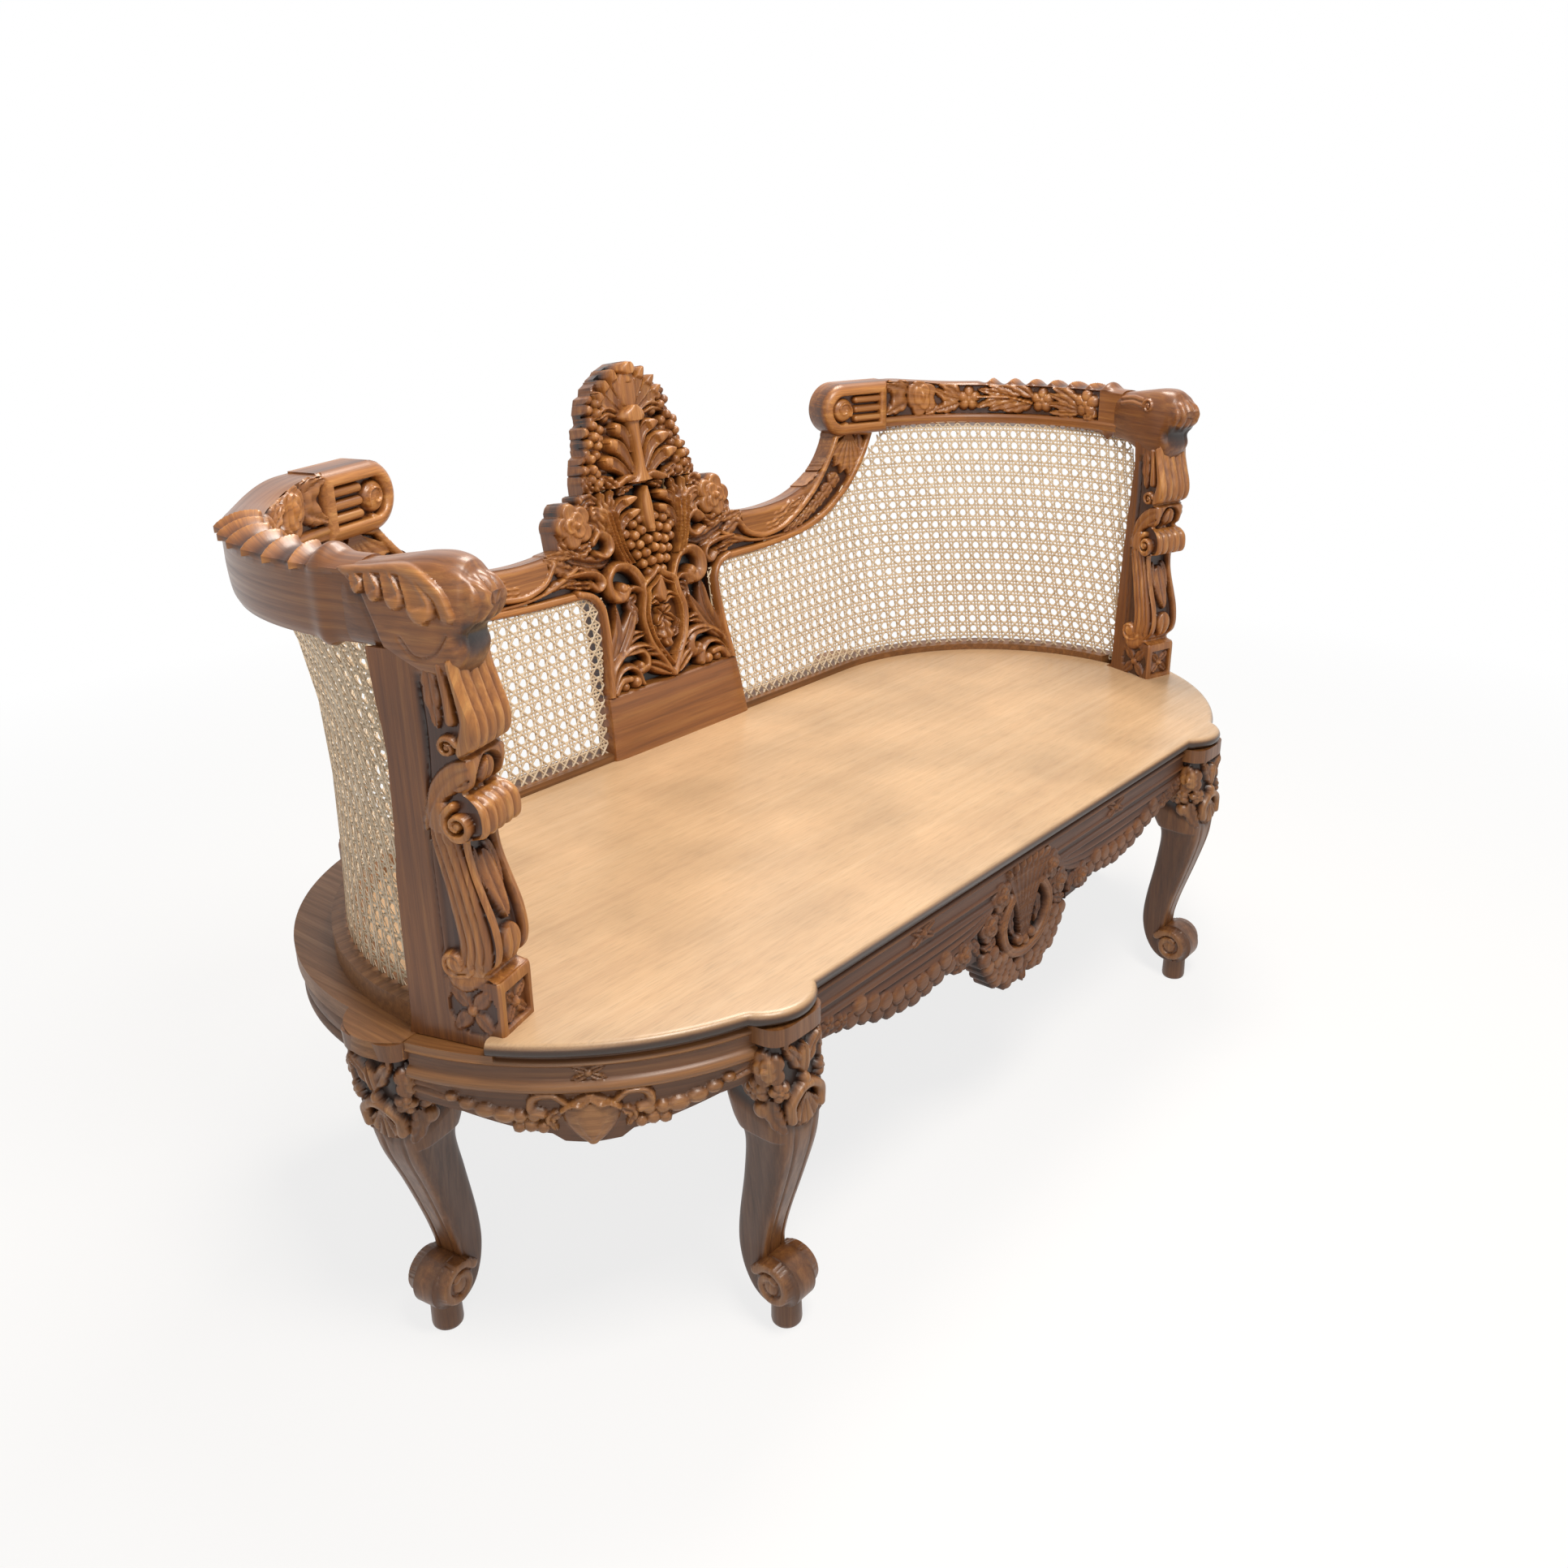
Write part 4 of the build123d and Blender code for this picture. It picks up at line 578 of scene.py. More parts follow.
def stem(ground, heights, halves, top, middle=0.0):
    """A turned-looking upright form: half widths at a few heights about a middle line."""
    heights, halves = np.asarray(heights, float), np.asarray(halves, float)
    corners = [(middle - halves.max(), heights.min()), (middle + halves.max(), heights.max())]
    spots = ground.near(corners, 3)
    line = smooth(np.column_stack([halves, heights]))
    half = np.interp(ground.v[spots], line[:, 1], line[:, 0])
    off = ground.u[spots] - middle
    ends = np.minimum(ground.v[spots] - heights[0], heights[-1] - ground.v[spots])
    edge = np.minimum(half - np.abs(off), ends)
    ground.lay(spots, round_over(off / np.maximum(half, 0.5)), top, edge)


print("ribs, scrolls, berries and stems ready")


# %% Leaves and fingers
def leaf(ground, points, width, top, lobes=4, lift=(0.75, 1.0), vein=0.36, tilt=0.0):
    """An acanthus leaf along a rib: lobed edges, a sunk vein and flutes that fan out from it."""
    line = smooth(points)
    spots = ground.near(line, width)
    along, off = follow(line, ground.u[spots], ground.v[spots])
    body = np.sin(np.pi * np.clip(along, 0, 1) ** 0.75) ** 0.7
    tooth = np.abs(np.sin(np.pi * lobes * along)) ** 0.6
    half = width / 2 * body * (0.72 + 0.28 * tooth) if lobes else width / 2 * body
    s = off / np.maximum(half, 0.3)
    away = np.abs(s)
    flute = 0.5 - 0.5 * np.cos(2 * np.pi * lobes * (along - 0.12 * away)) if lobes else 1.0
    share = round_over(s, 4.5) * (lift[0] + (lift[1] - lift[0]) * along) * (1 + tilt * s) / (1 + abs(tilt))
    sunk = vein * np.exp(-((off / (0.07 * width + 0.6)) ** 2)) * share
    share = share * (1 - 0.36 * away * (1 - flute)) - sunk
    ground.lay(spots, share, top, half - np.abs(off))


def finger(ground, points, width, top, roll=0.74, hollow=0.36):
    """A hollow acanthus finger: raised edges round a sunk middle, rolled over into a round tip."""
    line = smooth(points)
    spots = ground.near(line, width)
    along, off = follow(line, ground.u[spots], ground.v[spots])
    half = width / 2 * (0.5 + 0.5 * np.clip(along / 0.6, 0, 1)) * np.sqrt(np.clip(1.02 - along**9, 0, 1))
    s = np.abs(off) / np.maximum(half, 0.3)
    share = round_over(s, 3.0) * (0.7 + 0.3 * along)
    spoon = np.clip(1 - (s / 0.66) ** 4, 0, 1) * np.clip((roll - along) / 0.05, 0, 1)
    share = share * (1 - hollow * spoon)
    ground.lay(spots, share, top, half - np.abs(off))


def fan(ground, centre, radius, aim, spread, flutes, top, hub=0.25, dish=0.3):
    """A fan of hollow flutes with ribs between, opening from a hub. Angles in turns."""
    spots = ground.near(centre, radius * 1.1)
    du, dv = ground.u[spots] - centre[0], ground.v[spots] - centre[1]
    reach = np.hypot(du, dv) / radius
    bearing = (np.arctan2(dv, du) / (2 * np.pi) - aim + 0.5) % 1 - 0.5
    across = bearing / spread * 2
    wave = np.abs(np.cos(np.pi * flutes * (across + 1) / 2))
    rim = 1 - 0.12 * wave - 0.18 * across**2
    flank = (1 - np.abs(across)) * spread / 2 * 2 * np.pi * reach * radius
    edge = np.minimum((rim - reach) * radius, flank)
    dished = 1 - dish * (1 - wave**0.7) * np.clip(reach / 0.4, 0, 1)
    share = (0.62 + 0.38 * np.clip(reach, 0, 1)) * dished
    share = share * np.clip((rim - reach) / 0.05, 0, 1) ** 0.4
    ground.lay(spots, np.where(reach < hub, np.maximum(share, 0.7), share), top, edge)


def flower(ground, centre, radius, petals, top, turn=0.0):
    """An open flower: rounded petals, dished in their middles, round a button."""
    spots = ground.near(centre, radius * 1.2)
    du, dv = ground.u[spots] - centre[0], ground.v[spots] - centre[1]
    gap = np.hypot(du, dv)
    wave = np.abs(np.cos(petals / 2 * (np.arctan2(dv, du) - 2 * np.pi * turn)))
    half = radius * (0.66 + 0.34 * wave**0.6)
    s = gap / half
    share = round_over(s, 4) * (0.62 + 0.3 * np.sin(np.pi * np.clip(s, 0, 1)) * wave**0.5)
    ground.lay(spots, share, top, half - gap)
    berry(ground, centre, radius * 0.26, top)


def rose(ground, centre, radius, top, turn=0.0):
    """A full rose: two rounds of cupped petals with raised rims, and a bud in the middle."""
    for petals, reach, size, high in ((5, 0.56, 0.5, -3.5), (3, 0.27, 0.4, 0.0)):
        for k in range(petals):
            way = 2 * np.pi * (turn + k / petals)
            middle = (centre[0] + reach * radius * np.cos(way), centre[1] + reach * radius * np.sin(way))
            spots = ground.near(middle, size * radius)
            gap = np.hypot(ground.u[spots] - middle[0], ground.v[spots] - middle[1]) / (size * radius)
            cup = round_over(gap, 5) * (0.72 + 0.28 * np.clip(gap, 0, 1) ** 2)
            ground.lay(spots, cup, top + high, (1 - gap) * size * radius)
    berry(ground, centre, 0.24 * radius, top + 1)


def set_out(ground, form, rows, **options):
    """Lays a form once for each row of its points or centre, its size and its height."""
    for row in rows:
        form(ground, *row, **options)


print("leaves, fingers, fans, flowers and roses ready")

# %% [markdown]
# ## The splat
# The upright in the middle of the back is one carved board on a plain shoe. Its lower half holds a
# pointed cartouche between scrolls and leaves; above it a spear stands between two lyre-shaped stems
# with bunches of berries; roses sit where the back rails join. The crest above the seam has a fan,
# a bud on a stem, three fingers a side and berries down both edges. Only the right half is set out,
# because the grid takes the left side as its mirror image.

# %% Splat panel
SPLAT_FOOT = (248.0, 404.0)
SPLAT_LEAN = 0.167
SPLAT_BACK = -36.0
SPLAT_FLOOR = -19.0
SPLAT_TOP = 7.0
SHOE_TOP, SEAM, CREST_TOP = 509.0, 787.0, 951.0
DRAWN_FOOT, DRAWN_TOP = 502.0, 953.0
PANEL_BERRY, CREST_BERRY = 8.4, 8.0
CARTOUCHE_GROUND = -11


def on_splat(u, v, h):
    """A place on the leaning front face of the splat, h proud of it; v is as drawn, foot to top."""
    square = 1 / np.hypot(1, SPLAT_LEAN)
    z = SHOE_TOP + (v - DRAWN_FOOT) * (CREST_TOP - SHOE_TOP) / (DRAWN_TOP - DRAWN_FOOT)
    y = SPLAT_FOOT[0] + SPLAT_LEAN * (z - SPLAT_FOOT[1]) - h * square
    return np.column_stack([u, y, z + h * square * SPLAT_LEAN])


def inside_halves(ground, heights, halves):
    """Sets the sawn outline: half widths at a few heights, mirrored about the middle."""
    ground.f = np.interp(ground.v, heights, halves) - ground.u


panel = board((-172, 172), (DRAWN_FOOT, SEAM), SPLAT_FLOOR, mirrored=True)
inside_halves(
    panel,
    (DRAWN_FOOT, 540, 580, 610, 628, 640, 647, 650, 722, 735, 760, SEAM),
    (133, 127.5, 123, 121.5, 122.5, 128, 138, 151, 151, 140, 120, 104),
)
# Side border, which the dip rail's lower bead carries on
rib(panel, [(127, 500), (121, 540), (116, 580), (114.5, 610), (117, 632), (130, 648), (153, 656)], 13, 4)
# Spear between the stems, which stands in front of everything
stem(panel, (718, 736, 756, 772, 784), (7, 12, 12.5, 8, 0.5), 7)
# Reeded lyre stems, which split at the top into an outer frond and two inner ones
rib(panel, [(30, 640), (38, 660), (52, 680), (61, 702), (67, 728), (71, 752)], 21, 4, (0.55, 1.3), tilt=-0.35)
for shift in (-5.5, 1.5, 8):
    reed = [(50 + shift, 680), (61 + shift, 702), (67 + 1.2 * shift, 728), (72 + 1.6 * shift, 756)]
    rib(panel, reed, 2.6, 5.5)
leaf(panel, [(66, 716), (80, 750), (101, 764), (108, 752)], 27, 6, lobes=3, vein=0.2)
set_out(panel, leaf, (
    ([(68, 735), (80, 766), (80, 788)], 24, 4, 3), ([(70, 745), (64, 770), (58, 788)], 20, 2, 3),
    ([(44, 776), (32, 784), (14, 786)], 18, 0, 3),
))
set_out(panel, finger, (
    ([(66, 726), (54, 758), (22, 770)], 18, 7), ([(60, 706), (48, 738), (18, 752)], 17, 6),
))
# Berries between the stems
for u, v, high in (
    (16, 738, 1), (30, 733, 3), (43, 737, -2), (0, 724, 9), (17, 722, 6), (32, 717, 7), (45, 721, 0),
    (9, 708, 9), (25, 703, 6), (40, 705, 2), (0, 695, 10), (16, 690, 7), (31, 689, 3), (8, 677, 8),
    (23, 675, 4), (0, 663, 6), (14, 661, 2),
):
    berry(panel, (u, v), PANEL_BERRY, high)
# Upper C scrolls and the small leaf under each
upper_scroll = [(31, 648), (44, 668), (62, 678), (80, 677), (92, 663), (90, 645), (77, 638), (68, 645)]
rib(panel, upper_scroll, 24, 8, (0.5, 1.0), tilt=0.3)
rib(panel, [(34, 636), (46, 643), (58, 641), (64, 632)], 13, 4, (0.7, 1.1), tilt=0.3)
berry(panel, (70, 648), 9.5, 5)
leaf(panel, [(40, 634), (56, 624), (52, 604), (60, 590)], 20, 0, lobes=3)
# Rose at the shoulder, with its leaves
set_out(panel, leaf, (
    ([(122, 770), (104, 780), (90, 772)], 30, 3, 3), ([(114, 752), (98, 744), (90, 728)], 32, 4, 2),
    ([(152, 722), (132, 712), (112, 722)], 28, 4, 5), ([(172, 744), (164, 722), (150, 710)], 24, 2, 3),
))
rose(panel, (139, 749), 32, 11)
# Curled leaf and the long S leaves that run out to the dip rail
rib(panel, [(108, 706), (92, 700), (80, 708), (82, 722), (96, 729), (108, 720)], 15, 6, (0.8, 1.1), tilt=0.3)
under_curl = [(168, 682), (135, 681), (113, 675), (106, 664), (114, 657), (123, 664)]
rib(panel, under_curl, 15, 6, (0.6, 1.0), tilt=-0.3)
set_out(panel, leaf, (
    ([(76, 692), (112, 691), (172, 712)], 27, 4, 4), ([(98, 674), (128, 680), (172, 696)], 23, 5, 3),
), tilt=0.4)
leaf(panel, [(118, 662), (146, 667), (172, 672)], 17, 2, lobes=3)
# Cartouche: a pointed frame with a bud, a small flower and a leaf in it
cartouche = [(0, 664), (9, 655), (29, 644), (32, 628), (40, 603), (39, 583), (31, 558), (15, 533), (0, 508)]
spots = np.flatnonzero((panel.v > 507) & (panel.v < 664))
frame_half = np.interp(panel.v[spots], [p[1] for p in cartouche[::-1]], [p[0] for p in cartouche[::-1]])
raised = np.maximum(panel.h[spots], CARTOUCHE_GROUND)
panel.h[spots] = np.where(panel.u[spots] < frame_half, raised, panel.h[spots])
rib(panel, cartouche, 13, 8, tilt=0.25)
inner_frame = [(0, 653), (9, 645), (24, 637), (26, 626), (33, 603), (32, 584), (25, 561), (10, 537), (0, 521)]
rib(panel, inner_frame, 4.5, 5)
stem(panel, (616, 626, 640, 654), (4, 14, 11, 0.5), 6)
for turn in (0.1, 0.3):
    reach = 14 * np.array([np.cos(2 * np.pi * turn), np.sin(2 * np.pi * turn)])
    leaf(panel, [(0, 598) + share * reach for share in (0, 0.6, 1.25)], 16, 4, lobes=0)
set_out(panel, leaf, (
    ([(2, 612), (14, 622), (28, 616)], 17, 6, 0), ([(1, 596), (11, 590), (18, 582)], 16, 3, 0),
    ([(0, 590), (0, 570), (0, 545)], 34, 5, 3), ([(6, 560), (20, 568), (26, 588)], 16, 3, 2),
))
# Lower corner: a tall leaf, two C scrolls, and leaves that fan to the cartouche's foot
leaf(panel, [(127, 508), (108, 552), (90, 590), (86, 632)], 31, 3, lobes=0, vein=0.25, tilt=-0.3)
leaf(panel, [(116, 534), (84, 572), (66, 598), (52, 622)], 28, 5, lobes=0, vein=0.25, tilt=0.3)
set_out(panel, leaf, (
    ([(82, 566), (64, 577), (42, 577)], 18, 3, 0), ([(48, 550), (28, 546), (4, 534)], 16, 5, 0),
    ([(46, 532), (26, 522), (2, 506)], 21, 6, 0),
))
set_out(panel, rib, (
    ([(128, 510), (112, 542), (80, 561), (50, 562), (27, 550)], 13, 7, (1.1, 0.6)),
    ([(122, 510), (104, 532), (82, 537), (66, 527), (61, 510)], 13, 6, (0.6, 1.1)),
), tilt=0.35)
rib(panel, [(90, 556), (72, 556), (54, 555), (44, 543), (46, 528), (59, 525)], 17, 6, (0.6, 1.1), tilt=0.3)
rib(panel, [(118, 505), (104, 519), (86, 519)], 12, 3)
set_out(panel, berry, (((61, 533), 8, 3), ((96, 510), 8, 2), ((75, 512), 10, 5)))
# A few gaps are cut right through
for u, v, size in ((13, 655, 4.0), (52, 513, 5.0), (104, 640, 4.0)):
    gap = np.hypot(panel.u - u, panel.v - v) - size
    clear = (panel.h <= SPLAT_FLOOR + 0.5) & (gap < 4)
    panel.f = np.where(clear, np.minimum(panel.f, gap), panel.f)

points, faces, grain, proud = cut_out(panel, on_splat, SPLAT_BACK, SPLAT_TOP)
add_piece("carved_splat_panel", points, faces, teak, "teak", ["splat_panel"], grain, proud)
print("splat panel:", len(faces), "faces")

# %% Splat crest
crest = board((-122, 122), (SEAM, DRAWN_TOP + 2), SPLAT_FLOOR, mirrored=True)
inside_halves(
    crest,
    (SEAM, 802, 818, 834, 838, 848, 868, 873, 880, 890, 906, 913, 917, 926, 931, 937, 942, 948, 954, 960),
    (108, 107, 103, 98, 91, 92, 87, 87, 78, 79, 73, 70, 60, 57, 48, 44, 34, 26, 10, -6),
)
sawn = crest.f.copy()
# Leaves behind the berries keep the ground from going bare
set_out(crest, leaf, (
    ([(20, 880), (52, 894), (72, 912)], 34, -7), ([(30, 860), (66, 862), (88, 874)], 34, -7),
    ([(40, 838), (76, 838), (98, 840)], 34, -7), ([(52, 806), (84, 812), (108, 822)], 34, -7),
    ([(40, 896), (52, 912), (50, 932)], 34, -7),
))
# Fan at the top, whose middle flute curls forward as a lip
leaf(crest, [(0, 890), (0, 918), (0, 958)], 44, 4, lobes=0, lift=(0.9, 1.0), vein=0.0)
set_out(crest, finger, (
    ([(18, 892), (42, 902), (60, 918)], 20, 5), ([(14, 894), (34, 914), (47, 933)], 20, 7),
    ([(8, 896), (21, 924), (29, 946)], 20, 8), ([(0, 892), (0, 925), (0, 950)], 22, 9, 0.62),
), hollow=0.22)
stem(crest, (938, 943, 950, 955), (9, 20, 18, 8), 13)
# Bud cap on its stem, and the flared foot
stem(crest, (790, 798, 810, 838, 864, 877), (27, 17, 10, 8.5, 12, 17), 7)
stem(crest, (874, 880, 888, 896), (20, 28, 24, 8), 12)
# Three fingers a side
set_out(crest, finger, (
    ([(9, 836), (20, 860), (42, 869)], 23, 7), ([(12, 808), (30, 838), (58, 850)], 25, 9),
    ([(18, 798), (42, 818), (70, 827)], 23, 8),
))
# A blade under the bud, and curls at the seam
rib(crest, [(4, 790), (24, 796), (44, 789)], 15, 6, tilt=0.3)
set_out(crest, leaf, (
    ([(20, 884), (44, 892), (68, 882)], 18, 3, 0), ([(44, 786), (58, 796), (72, 806)], 22, 4, 3),
    ([(66, 784), (80, 792), (84, 806)], 18, 1, 3), ([(88, 786), (100, 796), (102, 812)], 20, 3, 3),
))
# Three bunches of berries down each edge
for u, v, high in (
    (58, 904, 2), (69, 911, -3), (47, 897, 0), (61, 891, 4), (73, 897, 0), (71, 883, -3), (46, 884, -2),
    (60, 869, 1), (72, 876, 3), (74, 861, 6), (86, 868, -1), (84, 852, 2), (69, 848, 3), (61, 857, -3),
    (88, 840, -4), (73, 836, 0), (86, 832, 4), (98, 833, -4), (87, 818, 6), (99, 818, 1), (78, 811, 0),
    (91, 805, 3), (103, 804, -3), (79, 797, 2), (71, 801, -2), (108, 793, -5),
):
    berry(crest, (u, v), CREST_BERRY, high)
crest.f = np.minimum(crest.f, sawn + 2)
points, faces, grain, proud = cut_out(crest, on_splat, SPLAT_BACK, SPLAT_TOP)
add_piece("carved_splat_crest", points, faces, teak, "teak", ["splat_crest"], grain, proud)
print("splat crest:", len(faces), "faces")

# %% [markdown]
# ## Skins over rings
# Posts, arms and legs are carved in the round, so a flat ground does not suit them. Their surface is a
# stack of closed rings, as if the wood were sliced, and carving moves each point of a ring out or in
# along the surface's own normal. The forms are set out on the unrolled surface just as on a board.


# %% Ring skins
def skin(rings):
    """Points and faces of a skin over closed rings, with a flat cap at each end."""
    count, around = rings.shape[:2]
    index = np.arange(count * around).reshape(count, around)
    after = np.roll(index, -1, axis=1)
    quads = np.stack([index[:-1], after[:-1], after[1:], index[1:]], -1).reshape(-1, 4)
    return rings.reshape(-1, 3), [*quads.tolist(), index[0][::-1].tolist(), index[-1].tolist()]


def raise_skin(rings, h):
    """Moves each point of a skin out along its normal by h."""
    across = np.roll(rings, -1, axis=1) - np.roll(rings, 1, axis=1)
    out = np.cross(across, np.gradient(rings, axis=0))
    out = out / (np.linalg.norm(out, axis=2, keepdims=True) + 1e-9)
    return rings + out * np.asarray(h).reshape(rings.shape[:2])[..., None]


def join(*parts):
    """Several lots of points, faces, grain and proudness as one."""
    points, faces, grain, proud = [], [], [], []
    for part_points, part_faces, part_grain, part_proud in parts:
        start = sum(map(len, points))
        points.append(part_points)
        faces += [[corner + start for corner in face] for face in part_faces]
        grain.append(part_grain)
        proud.append(part_proud)
    return np.vstack(points), faces, np.vstack(grain), np.concatenate(proud)


def oval(count, squareness):
    """A unit ring of evenly spaced points, from a circle towards a square, counter-clockwise from (1, 0)."""
    turn = np.linspace(0, 2 * np.pi, 4001)
    spread = np.column_stack([np.cos(turn), np.sin(turn)])
    dense = np.sign(spread) * np.abs(spread) ** (2 / squareness)
    way = np.concatenate([[0], np.cumsum(np.hypot(*np.diff(dense, axis=0).T))])
    even = np.linspace(0, way[-1], count, endpoint=False)
    return np.column_stack([np.interp(even, way, dense[:, 0]), np.interp(even, way, dense[:, 1])])


def level_of(h, low, high):
    """Proudness of a height, from 0 at the low level to 1 at the high one."""
    return np.clip((np.ravel(h) - low) / (high - low), 0, 1)


print("ring skins ready")

# %% [markdown]
# ## The seat plank
# The seat is a wide glued-up board of paler teak, sanded and sealed but not stained, with its grain
# along the seat. Its front edge overhangs the rails as a rounded nosing and steps out over each leg in
# a small ear. A board sawn to an outline is just that outline stacked a few times, so the nosing is
# made of rings drawn in a little at the top and the bottom.

# %% Seat plank
SEAT_FOOT = 404.0
SEAT_FRONT = 354.0
EAR_PLACE, EAR_SIZE = (484.0, -319.0), 58.0
END_PLACE, END_SIZE = (411.0, 0.0), 368.0
TUB_FOOT, TUB_INSIDE = (395.0, -51.0), 305.5
POST_PLACE = np.array([684.1, -183.2])
POST_OUT = np.array([0.951, -0.309])
POST_REAR = np.array([0.309, 0.951])
UNDER_POST = 14
EAR_STEPS, END_STEPS, TUB_STEPS = 18, 40, 40
NOSING = ((0, 5), (2, 2.2), (5, 0.4), (9, 0), (12, 1), (14.5, 3), (15.6, 5.5), (16, 9))
PLANK_HEX = ("#bb9a76", "#c3a37e", "#cbad89")
PLANK_BANDS_MM = (13.0, 520.0)


def arc(centre, radius, start, end, steps):
    """Points along an arc, angles in radians."""
    turn = np.linspace(start, end, steps)
    return np.column_stack([centre[0] + radius * np.cos(turn), centre[1] + radius * np.sin(turn)])


def bearing(centre, place):
    """The angle at which a place is seen from a centre."""
    return np.arctan2(place[1] - centre[1], place[0] - centre[0])


def line_meets(centre, radius, place, along):
    """Where a line through a place crosses a circle, the far way along."""
    off = np.asarray(place) - centre
    reach = -off @ along + np.sqrt((off @ along) ** 2 - off @ off + radius**2)
    return np.asarray(place) + reach * np.asarray(along)


def both_halves(half):
    """A right-hand half and its mirror image, which share the first point."""
    return np.vstack([half, (half * (-1, 1))[:0:-1]])


ear_in = np.sqrt(EAR_SIZE**2 - (SEAT_FRONT + EAR_PLACE[1]) ** 2)
ear_start = np.array([EAR_PLACE[0] - ear_in, -SEAT_FRONT])
ear_ring = arc(EAR_PLACE, EAR_SIZE, -1.5, 0.5, 400)
ear_end = ear_ring[np.abs(np.hypot(*(ear_ring - END_PLACE).T) - END_SIZE).argmin()]
under_post = POST_PLACE + UNDER_POST * POST_REAR
post_end = line_meets(np.array(END_PLACE), END_SIZE, under_post, POST_OUT)
post_start = line_meets(np.array(TUB_FOOT), TUB_INSIDE, under_post - 200 * POST_OUT, POST_OUT)
half = np.vstack([
    [(0, -SEAT_FRONT)],
    arc(EAR_PLACE, EAR_SIZE, bearing(EAR_PLACE, ear_start), bearing(EAR_PLACE, ear_end), EAR_STEPS),
    arc(END_PLACE, END_SIZE, bearing(END_PLACE, ear_end), bearing(END_PLACE, post_end), END_STEPS)[1:],
    arc(TUB_FOOT, TUB_INSIDE, bearing(TUB_FOOT, post_start), np.pi / 2, TUB_STEPS),
])
towards = np.vstack([
    [(0, 1)],
    (EAR_PLACE - half[1:EAR_STEPS + 1]) / EAR_SIZE,
    (END_PLACE - half[EAR_STEPS + 1:-TUB_STEPS]) / END_SIZE,
    np.zeros((TUB_STEPS, 2)),
])
outline, inwards = both_halves(half), both_halves(towards)
nosed = len(half) - TUB_STEPS
last = len(outline)
layers, above_nosing_shade = [], []
for height, inset in NOSING:
    layers.append(np.column_stack([outline + inwards * inset, np.full(last, SEAT_FOOT + height)]))
    above_nosing_shade.append(np.full(last, ease(height, 8, 15.9)))
points, faces = skin(np.array(layers))
# Each flat face is split in three along lines from the ears to the posts, as its outline is hollow in places
del faces[-2:]
for start, flip in ((0, -1), (len(points) - last, 1)):
    middle_part = [0, 1, *range(nosed, last - nosed + 1), last - 1]
    for cap in (range(1, nosed + 1), range(last - nosed, last), middle_part):
        faces.append([start + corner for corner in cap][::flip])
plank = teak_finish("pale_sealed_teak_plank", *PLANK_HEX, bands=PLANK_BANDS_MM)
# The lower half of the nosing is darkened nearly black, a painted shade under the plank's edge, and the top
# keeps its full colour.
proud = 0.12 + 0.88 * np.concatenate(above_nosing_shade)
add_piece("seat_plank", points, faces, plank, "seat_plank", ["seat_board"], points[:, [1, 2, 0]], proud, 60)
print("seat plank:", len(outline), "points round its outline")

# %% [markdown]
# ## The cane
# The back and ends are woven by hand from strips of split rattan in the six-way pattern: pairs of
# uprights, pairs of level strips across them, and single strips along both diagonals through the
# crossings, which leave eight-sided holes. Strips pulled tight round a curve draw in towards its
# hollow side, so the ends belly inwards between the sill and the rail. Each strip here is a thin flat
# ribbon that follows that surface, a hair's breadth over or under the others. Broader stitches along
# the rail and the post bind the border down over its pegged holes.

# %% Cane weave
CANE_PITCH = 18.5
PAIR_GAP = 5.2
STRIP_WIDTH = 2.7
STRIP_THICK = 0.8
CANE_FOOT, CANE_HEAD = 424.0, 812.0
CANE_START = 108
CANE_HEX = ("#bba68a", "#d6c5ab", "#e8dcc8")
TUB_BASE, TUB_RISE, TUB_SLOPE = 430, 385, 0.12
TUB_SWEEP = ((395, 45), (-51, 68), (319, -19))
LINE_START, LINE_END, LINE_FOOT, LINE_HEAD = 100, 1060, 415, 830
STITCH_WIDTH, STITCH_THICK, STITCH_LIFT, STITCH_PITCH = 4.6, 1.6, 2.4, 21.0


def on_tub(u, z, h):
    """A place on the inside of the tub: u along it from the middle of the back, h proud of it."""
    t = (z - TUB_BASE) / TUB_RISE
    middle, centre_y, radius = (foot + lean * t for foot, lean in TUB_SWEEP)
    turn = np.clip((u - middle) / radius, 0, None)
    x = np.where(u < middle, u, middle + radius * np.sin(turn))
    y = centre_y + radius * np.cos(turn)
    inward = np.column_stack([-np.sin(turn), -np.cos(turn), np.full(len(turn), TUB_SLOPE)])
    return np.column_stack([x, y, z]) + inward / np.hypot(1, TUB_SLOPE) * np.reshape(h, (-1, 1))


def belly(u, z):
    """How far the cane is drawn in from the plain tub at a place."""
    t = np.clip((z - TUB_BASE) / TUB_RISE, 0, 1)
    deep = np.interp(t, (0, 0.23, 0.44, 0.65, 0.82, 1), (-6, 12, 26, 34, 32, 21))
    return deep * ease(u, 470, 640) * (1 - 0.55 * ease(u, 820, 980))


def cane_room(u, z):
    """How far inside its opening a spot of the cane lies."""
    head = np.interp(
        u,
        (100, 150, 333, 400, 470, 520, 550, 980, 1010, 1030),
        (640, 655, 664, 684, 727, 775, CANE_HEAD, CANE_HEAD, 800, 760),
    )
    tail = np.interp(z, (430, 600, 815), (946, 988, 1042))
    return np.minimum(np.minimum(z - CANE_FOOT, head - z), np.minimum(u - CANE_START, tail - u))


